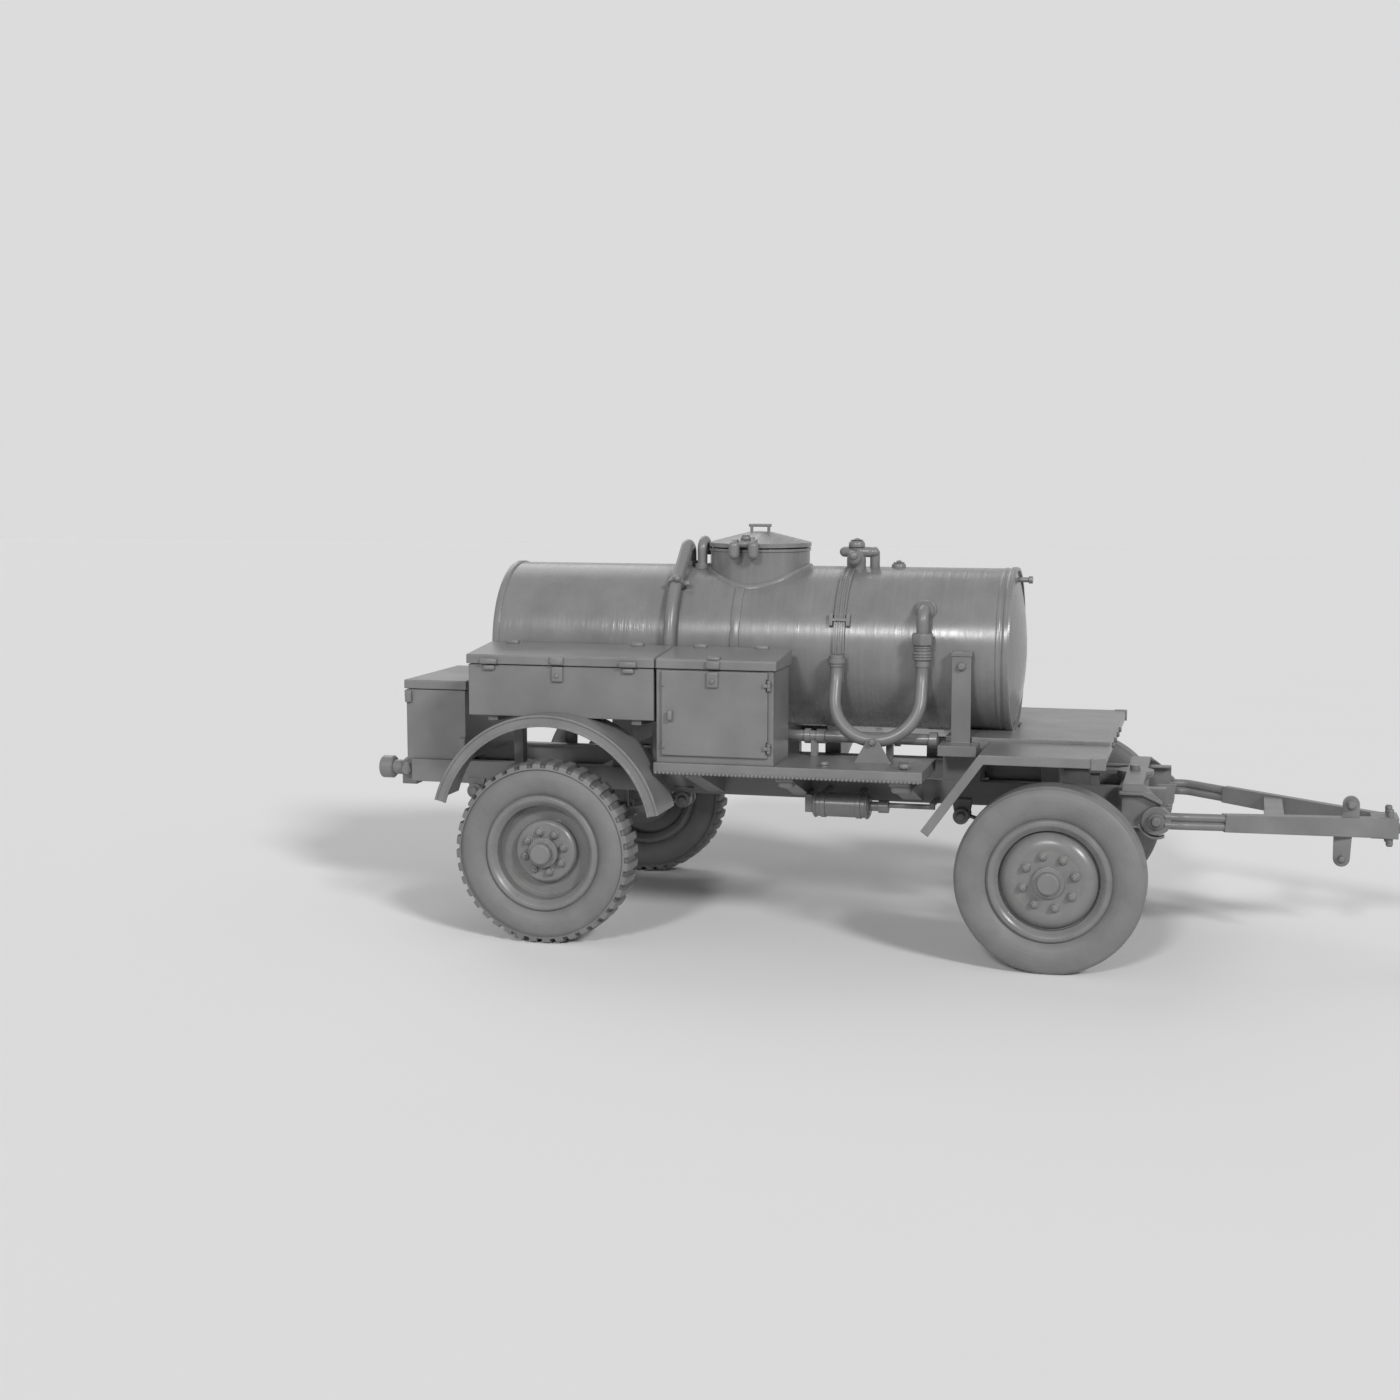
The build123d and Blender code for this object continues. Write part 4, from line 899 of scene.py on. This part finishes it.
@dataclass
class Lobes(Fitting):
    """Round-ended castings: the manhole's hinge lugs, the top valve and the vent pipe's clamp."""

    segments: int = 24
    rings: int = 16

    def groups(self) -> dict[str, tuple[Slot, list[Lobe]]]:
        """Lists the castings.

        Returns:
            Piece name to slot and lobes.
        """
        up, out, ahead, back = Facing.UP, Facing.OUT, Facing.AHEAD, Facing.BACK
        lugs = [Lobe(x, -312, 1934, 29, 40, up) for x in (816, 917)]
        valve = [
            Lobe(1409, -60, 1840, 50, 56, up),
            Lobe(1346, -50, 1940, 27, 128, ahead),
            Lobe(1409, -50, 1950, 32, 30, up),
            Lobe(1409, -118, 1908, 38, 4, out),
            Lobe(1502, -34, 1850, 26, 84, up),
            Lobe(1462, -50, 1940, 24, 40, ahead),
        ]
        clamp = [
            Lobe(482, -316, 1778, 15, 10, back),
            Lobe(562, -316, 1778, 15, 10, ahead),
            Lobe(522, -344, 1806, 19, 4, out),
        ]
        return {
            "manhole_hinge_lugs": (Slot.TANK, lugs),
            "top_valve_castings": (Slot.FITTING, valve),
            "vent_clamp_lugs": (Slot.FITTING, clamp),
        }

    def bar(self, lobe: Lobe) -> Piece:
        """Models an upright round-ended bar at the origin.

        Args:
            lobe: Its measures.

        Returns:
            The bar.
        """
        bar = Bench.add("bar", bpy.ops.mesh.primitive_uv_sphere_add, segments=self.segments,
                        ring_count=self.rings, radius=metres(lobe.radius))
        Bench.pick(bar, lambda centre, normal: centre.z > 0)
        bpy.ops.transform.translate(value=(0, 0, metres(lobe.length)))
        bpy.ops.object.mode_set(mode="OBJECT")
        return bar

    def build(self) -> None:
        """Models every bar, turns it to its place and joins those of a piece."""
        for name, (slot, lobes) in self.groups().items():
            made = []
            for lobe in lobes:
                place = Matrix.Translation(row(lobe.x, lobe.y, lobe.z)) @ aim(lobe.facing.on(Side.RIGHT))
                made.append(Bench.repeat("bar", self.bar(lobe), [place]))
            self.hand_over(Bench.join(name, made), "chassis", slot)


@dataclass(frozen=True)
class Pad:
    """A rounded pad on both sides, by its place, with y as distance out, and its size, in millimetres."""

    x: float
    y: float
    z: float
    size: Point


@dataclass
class Hasps(Fitting):
    """Rounded pads of the hasps, catches, hinges and clips of the boxes, and blocks under the boards."""

    rounding: float = 0.34
    inset: float = 0.35
    raised: float = 0.003
    segments: int = 3

    PLATE, STRAP, HINGE = (72, 18, 42), (64, 50, 16), (66, 42, 22)
    TONGUE, CATCH, HOOK = (58, 14, 76), (94, 24, 30), (60, 18, 24)
    CLIP, STEP, FOOT = (36, 14, 62), (84, 60, 62), (104, 60, 68)
    HANDLE = (26, 22, 52)
    CATCHES = (-322, 412)
    LOCKER_HINGES, CABINET_HINGES = (-310, 365), (700, 1020)

    def groups(self) -> dict[str, tuple[str, list[Pad]]]:
        """Lists the pads.

        Returns:
            Piece name to body and pads, both names with a gap for the side's word.
        """
        locker_hinges = [Pad(x, 541, 1473, self.HINGE) for x in self.LOCKER_HINGES]
        cabinet_hinges = [Pad(x, 541, 1473, self.HINGE) for x in self.CABINET_HINGES]
        locker_hasp = Pad(40, 879, 1415, self.PLATE)
        catches = [Pad(x, 880, 1406, self.CATCH) for x in self.CATCHES]
        hooks = [Pad(x, 870, 1373, self.HOOK) for x in self.CATCHES]
        cabinet_hasp = [Pad(847, 879, 1415, self.PLATE), Pad(847, 848, 1444, self.STRAP)]
        door = [Pad(847, 884, 1342, self.TONGUE), Pad(633, 896, 1162, self.HANDLE)]
        clips = [Pad(-966, 392, 1152, self.CLIP), Pad(-660, 392, 902, self.CLIP)]
        blocks = [Pad(1202, 790, 838, self.STEP), Pad(1775, 790, 835, self.FOOT)]
        return {
            "locker_lid_{}_pads": ("locker_lid_{}", [locker_hasp] + catches + locker_hinges),
            "cabinet_lid_{}_pads": ("cabinet_lid_{}", cabinet_hasp + cabinet_hinges),
            "locker_{}_pads": ("chassis", [Pad(40, 868, 1347, self.TONGUE)] + hooks),
            "cabinet_door_{}_pads": ("cabinet_door_{}", door),
            "rear_locker_{}_pads": ("chassis", clips),
            "board_{}_blocks": ("chassis", blocks),
        }

    def pad(self, size: Point) -> Piece:
        """Models a pad with a raised face and rounded edges.

        Args:
            size: Length, thickness and height in millimetres.

        Returns:
            The pad at the origin.
        """
        pad = Bench.add("pad", BLOCK, size=1, scale=[metres(side) for side in size])
        outer = Facing.UP if size[2] < size[1] else Facing.OUT
        way = outer.on(Side.RIGHT)
        Bench.pick(pad, lambda centre, normal: normal.dot(way) > FACING_SHARE)
        Bench.step(metres(min(size)) * self.inset, way * self.raised)
        Bench.soften(pad, metres(min(size)) * self.rounding, self.segments)
        return pad

    def build(self) -> None:
        """Sets the pads on the lids, the lockers, the doors and the boards of both sides."""
        for name, (body, pads) in self.groups().items():
            for side in Side:
                made = []
                for pad in pads:
                    place = Matrix.Translation(row(pad.x, -pad.y, pad.z))
                    if side is Side.LEFT:
                        place = MIRROR @ place
                    made.append(Bench.repeat("pad", self.pad(pad.size), [place]))
                joined = Bench.join(name.format(side.word), made)
                self.hand_over(joined, body.format(side.word), Slot.BOX)


@dataclass
class BoardTreads(Fitting):
    """Raised ribs along the folded edges of the running boards, placed in millimetres."""

    start: float = 556
    step: float = 20.5
    count: int = 65
    edge: float = 886
    height: float = 873

    def build(self) -> None:
        """Models one rib, repeats it along the edge and sets a row on each side."""
        rib = Bench.add("rib", BLOCK, size=1, scale=(0.012, 0.010, 0.014))
        Bench.pick(rib, lambda centre, normal: normal.y < -FACING_SHARE)
        Bench.step(inset=0.0015, shift=(0, -0.002, 0))
        Bench.soften(rib, width=0.001, segments=1)
        line = rib.modifiers.new("line", "ARRAY")
        line.count = self.count
        line.use_relative_offset = False
        line.use_constant_offset = True
        line.constant_offset_displace = (metres(self.step), 0, 0)
        bpy.ops.object.modifier_apply(modifier=line.name)
        right = Matrix.Translation(row(self.start, -self.edge, self.height))
        ribs = Bench.repeat("board_edge_ribs", rib, [right, MIRROR @ right])
        self.hand_over(ribs, "chassis", Slot.PANEL)


@dataclass
class HoseCollars(Fitting):
    """Hexagon collar and grooved rings on the hose's upper coupling."""

    x: float = 1820
    y: float = -475
    z: float = 1530

    RINGS = ((1478, 0.039), (1492, 0.039), (1433, 0.044), (1447, 0.044), (1461, 0.044))

    def build(self) -> None:
        """Models the collar and its rings and joins them."""
        collar = Bench.add("hose_collar", DISC, vertices=6, radius=0.057, depth=0.056,
                           location=row(self.x, self.y, self.z))
        Bench.pick(collar, lambda centre, normal: abs(normal.z) > FACING_SHARE)
        bpy.ops.mesh.inset(thickness=0.006)
        Bench.soften(collar, width=0.003)
        made = [collar]
        for z, radius in self.RINGS:
            made.append(Bench.add("ring", HOOP, major_radius=radius, minor_radius=0.0055, major_segments=36,
                                  minor_segments=8, location=row(self.x, self.y, z)))
        self.hand_over(Bench.join("hose_collar", made), "chassis", Slot.FITTING)


@dataclass(frozen=True)
class Ring:
    """A round bead, by its middle and radius in millimetres and the axis that it goes round."""

    x: float
    y: float
    z: float
    radius: float
    thick: float
    facing: Facing


@dataclass
class Beads(Fitting):
    """Beads round the ends of the brake reservoir and the foot of the hose's elbow."""

    GROUPS = {
        "reservoir_beads": [Ring(x, -550, 692, 60, 8, Facing.AHEAD) for x in (1304, 1566)],
        "elbow_flange": [Ring(1820, y, 1668, 46, 9, Facing.OUT) for y in (-352, -372)],
    }

    def build(self) -> None:
        """Models the beads and joins those of a piece."""
        for name, rings in self.GROUPS.items():
            made = []
            for ring in rings:
                bead = Bench.add("bead", HOOP, major_radius=metres(ring.radius), major_segments=40,
                                 minor_radius=metres(ring.thick), minor_segments=10)
                place = Matrix.Translation(row(ring.x, ring.y, ring.z)) @ aim(ring.facing.value)
                made.append(Bench.repeat("bead", bead, [place]))
            self.hand_over(Bench.join(name, made), "chassis", Slot.FITTING)


@dataclass
class WeldBead(Fitting):
    """Weld round the foot of the manhole collar, lying on the tank."""

    x: float = 882
    radius: float = 0.2645
    bead: float = 0.013
    overhang: float = 0.3
    ripple: float = 0.0009
    ripples: int = 80

    def build(self) -> None:
        """Models a ring and lets it follow the tank's round top."""
        middle_line = self.radius + self.bead * self.overhang
        ring = Bench.add("manhole_weld", HOOP, major_radius=middle_line, minor_radius=self.bead,
                         major_segments=160, minor_segments=8)
        centre = row(self.x, 0, 0)
        for corner in ring.data.vertices:
            x, y, z = corner.co
            wave = self.ripple * math.sin(self.ripples * math.atan2(y, x))
            tank_top = TANK_HEIGHT + math.sqrt(TANK_RADIUS ** 2 - y ** 2)
            corner.co = (x + centre.x, y, z + tank_top + wave)
        self.hand_over(ring, "chassis", Slot.TANK)


@dataclass
class TankBand(Fitting):
    """Rolled band round the middle of the tank, open under the manhole collar."""

    x: float = 843
    wide: float = 0.048
    rise: float = 0.008
    sunk: float = 0.004
    open_above: float = 1.762

    def build(self) -> None:
        """Models the band as a thick strip with rounded edges."""
        middle = row(self.x, 0, 0) + Vector((0, 0, TANK_HEIGHT))
        band = Bench.add("tank_band", DISC, vertices=128, radius=TANK_RADIUS + self.rise, depth=self.wide,
                         end_fill_type="NOTHING", location=middle, rotation=(0, math.pi / 2, 0))
        bpy.ops.object.mode_set(mode="EDIT")
        bpy.ops.mesh.select_all(action="SELECT")
        bpy.ops.mesh.bisect(plane_co=(0, 0, self.open_above), plane_no=(0, 0, 1), clear_outer=True)
        bpy.ops.object.mode_set(mode="OBJECT")
        sheet = band.modifiers.new("sheet", "SOLIDIFY")
        sheet.thickness = self.rise + self.sunk
        sheet.offset = -1
        bpy.ops.object.modifier_apply(modifier=sheet.name)
        Bench.soften(band, width=0.004, segments=3)
        self.hand_over(band, "chassis", Slot.TANK)


@dataclass
class SpringClamps(Fitting):
    """Shackle bolts that hold the axles to the springs, with their top plates and nuts, in millimetres."""

    fasteners: Fasteners
    bend: float = 49
    rod: float = 8
    inner: float = 319
    outer: float = 421
    rear_top: float = 591
    front_top: float = 571
    plate_size: Point = (136, 142, 12)
    leg_over_top: float = 34

    NUT_SCALE = 0.75

    def shackle(self, leg: float) -> Piece:
        """Models a shackle bolt round an axle at the origin, with its legs upwards.

        Args:
            leg: Length of the straight legs in metres.

        Returns:
            The pattern.
        """
        bolt = Bench.add("shackle", HOOP, major_radius=metres(self.bend), minor_radius=metres(self.rod),
                         major_segments=24, minor_segments=10, rotation=(math.pi / 2, 0, 0))
        bpy.ops.object.mode_set(mode="EDIT")
        bpy.ops.mesh.select_all(action="SELECT")
        bpy.ops.mesh.bisect(plane_co=(0, 0, 0), plane_no=(0, 0, 1), clear_outer=True)
        bpy.ops.mesh.select_mode(type="EDGE")
        bpy.ops.mesh.select_all(action="DESELECT")
        bpy.ops.mesh.select_non_manifold()
        bpy.ops.mesh.extrude_region_move(TRANSFORM_OT_translate={"value": (0, 0, leg)})
        bpy.ops.mesh.select_all(action="SELECT")
        bpy.ops.mesh.fill_holes(sides=0)
        bpy.ops.mesh.normals_make_consistent(inside=False)
        bpy.ops.object.mode_set(mode="OBJECT")
        return bolt

    def plate(self) -> Piece:
        """Models a top plate that lies on a spring's pad.

        Returns:
            The pattern.
        """
        size = [metres(side) for side in self.plate_size]
        plate = Bench.add("plate", BLOCK, size=1, scale=size, location=(0, 0, size[2] / 2))
        Bench.pick(plate)
        Bench.step(inset=0.018, shift=(0, 0, 0.004))
        Bench.soften(plate, width=0.002)
        return plate

    def build(self) -> None:
        """Sets two bolts, a plate and four nuts on each spring."""
        made = []
        middle = (self.inner + self.outer) / 2
        for (ahead, height), top in ((REAR_AXLE, self.rear_top), (FRONT_AXLE, self.front_top)):
            bolts, plates, nuts = [], [], []
            for side in Side:
                plates.append(Matrix.Translation(row(ahead, side.value * middle, top)))
                for y in (self.inner, self.outer):
                    bolts.append(Matrix.Translation(row(ahead, side.value * y, height)))
                    for way in (-1, 1):
                        spot = row(ahead + way * self.bend, side.value * y, top + self.plate_size[2])
                        nuts.append(Matrix.Translation(spot) @ Matrix.Scale(self.NUT_SCALE, 4))
            leg = metres(top - height + self.leg_over_top)
            made.append(Bench.repeat("bolts", self.shackle(leg), bolts))
            made.append(Bench.repeat("plates", self.plate(), plates))
            made.append(Bench.repeat("nuts", self.fasteners.nut(), nuts))
        self.hand_over(Bench.join("spring_clamps", made), "chassis", Slot.STEEL)


@dataclass
class Studio:
    """Pale floor, soft lamps and the camera of the photograph."""

    floor_size: float = 90.0
    pale: float = 0.90
    surround: float = 0.713
    ambient: float = 0.26
    camera_place: Point = (1.697, -10.452, 2.422)
    camera_yaw: float = 0.25686
    camera_pitch: float = 0.118743
    lens: float = 52.058

    CLOUD_CELLS, CLOUD_SHADE = 0.6, 0.985
    FLOOR_ROUGHNESS, FLOOR_SPECULAR = 0.9, 0.1
    SENSOR, FARTHEST = 36, 500

    def floor(self) -> None:
        """Lays a wide pale floor, which meets a surround of the same brightness."""
        floor = Bench.add("studio_floor", bpy.ops.mesh.primitive_plane_add, size=self.floor_size)
        graph = Graph("studio_floor_paint")
        cloud = graph.noise(self.CLOUD_CELLS, 3)
        colour = graph.tint(grey(self.pale * self.CLOUD_SHADE), cloud, share=1, towards=grey(self.pale))
        graph.links.new(colour, graph.shader.inputs["Base Color"])
        graph.shader.inputs["Roughness"].default_value = self.FLOOR_ROUGHNESS
        graph.shader.inputs["Specular IOR Level"].default_value = self.FLOOR_SPECULAR
        floor.data.materials.append(graph.material)

    def sky(self) -> None:
        """Makes a pale surround to the eye and in reflections, and a softer light on the trailer."""
        world = bpy.data.worlds.new("studio_surround")
        world.use_nodes = True
        bpy.context.scene.world = world
        nodes, links = world.node_tree.nodes, world.node_tree.links
        seen = nodes["Background"]
        seen.inputs["Color"].default_value = (*grey(self.surround), 1)
        lit = nodes.new("ShaderNodeBackground")
        lit.inputs["Color"].default_value = (*grey(1), 1)
        lit.inputs["Strength"].default_value = self.ambient
        rays = nodes.new("ShaderNodeLightPath")
        share = rays.outputs["Is Camera Ray"]
        for kind in ("Is Glossy Ray", "Is Transmission Ray"):
            either = nodes.new("ShaderNodeMath")
            either.operation = "MAXIMUM"
            links.new(share, either.inputs[0])
            links.new(rays.outputs[kind], either.inputs[1])
            share = either.outputs[0]
        mixed = nodes.new("ShaderNodeMixShader")
        links.new(share, mixed.inputs[0])
        links.new(lit.outputs[0], mixed.inputs[1])
        links.new(seen.outputs[0], mixed.inputs[2])
        links.new(mixed.outputs[0], nodes["World Output"].inputs["Surface"])

    def lamp(self, name: str, towards: Point, strength: float, spread: float) -> None:
        """Hangs a far soft lamp that lights floor and trailer evenly.

        Args:
            name: Name of the lamp.
            towards: Direction from the trailer to the lamp.
            strength: Its strength.
            spread: Its apparent width in degrees.
        """
        bpy.ops.object.light_add(type="SUN")
        lamp = bpy.context.active_object
        lamp.name = name
        lamp.data.energy = strength
        lamp.data.angle = math.radians(spread)
        lamp.rotation_euler = (-Vector(towards)).to_track_quat("-Z", "Y").to_euler()

    def camera(self) -> None:
        """Sets the camera at the photograph's place."""
        turn = (math.pi / 2 - self.camera_pitch, 0, self.camera_yaw)
        bpy.ops.object.camera_add(location=self.camera_place, rotation=turn)
        camera = bpy.context.active_object
        camera.data.sensor_width = self.SENSOR
        camera.data.lens = self.lens
        camera.data.clip_end = self.FARTHEST
        bpy.context.scene.camera = camera

    def build(self) -> None:
        """Sets up the whole studio."""
        self.floor()
        self.sky()
        self.lamp("key_lamp", (0.62, -0.62, 0.50), 1.65, 10)
        self.lamp("front_lamp", (-0.10, -0.86, 0.44), 1.10, 8)
        self.lamp("back_lamp", (-0.5, 0.7, 0.7), 0.55, 40)
        self.camera()
        bpy.context.scene.view_settings.view_transform = "Standard"


def main() -> None:
    """Dresses the solids, builds the fittings in order and sets the studio round the trailer."""
    logging.basicConfig(level=logging.INFO, format="%(message)s")
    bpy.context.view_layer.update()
    palette = Palette()
    palette.dress_frame()
    fasteners = Fasteners()
    fittings = (
        WheelFittings(palette, fasteners),
        Bolts(palette, fasteners),
        Lobes(palette),
        Hasps(palette),
        BoardTreads(palette),
        HoseCollars(palette),
        Beads(palette),
        WeldBead(palette),
        TankBand(palette),
        SpringClamps(palette, fasteners),
    )
    for fitting in fittings:
        fitting.build()
    Studio().build()


if __name__ == "__main__":
    main()
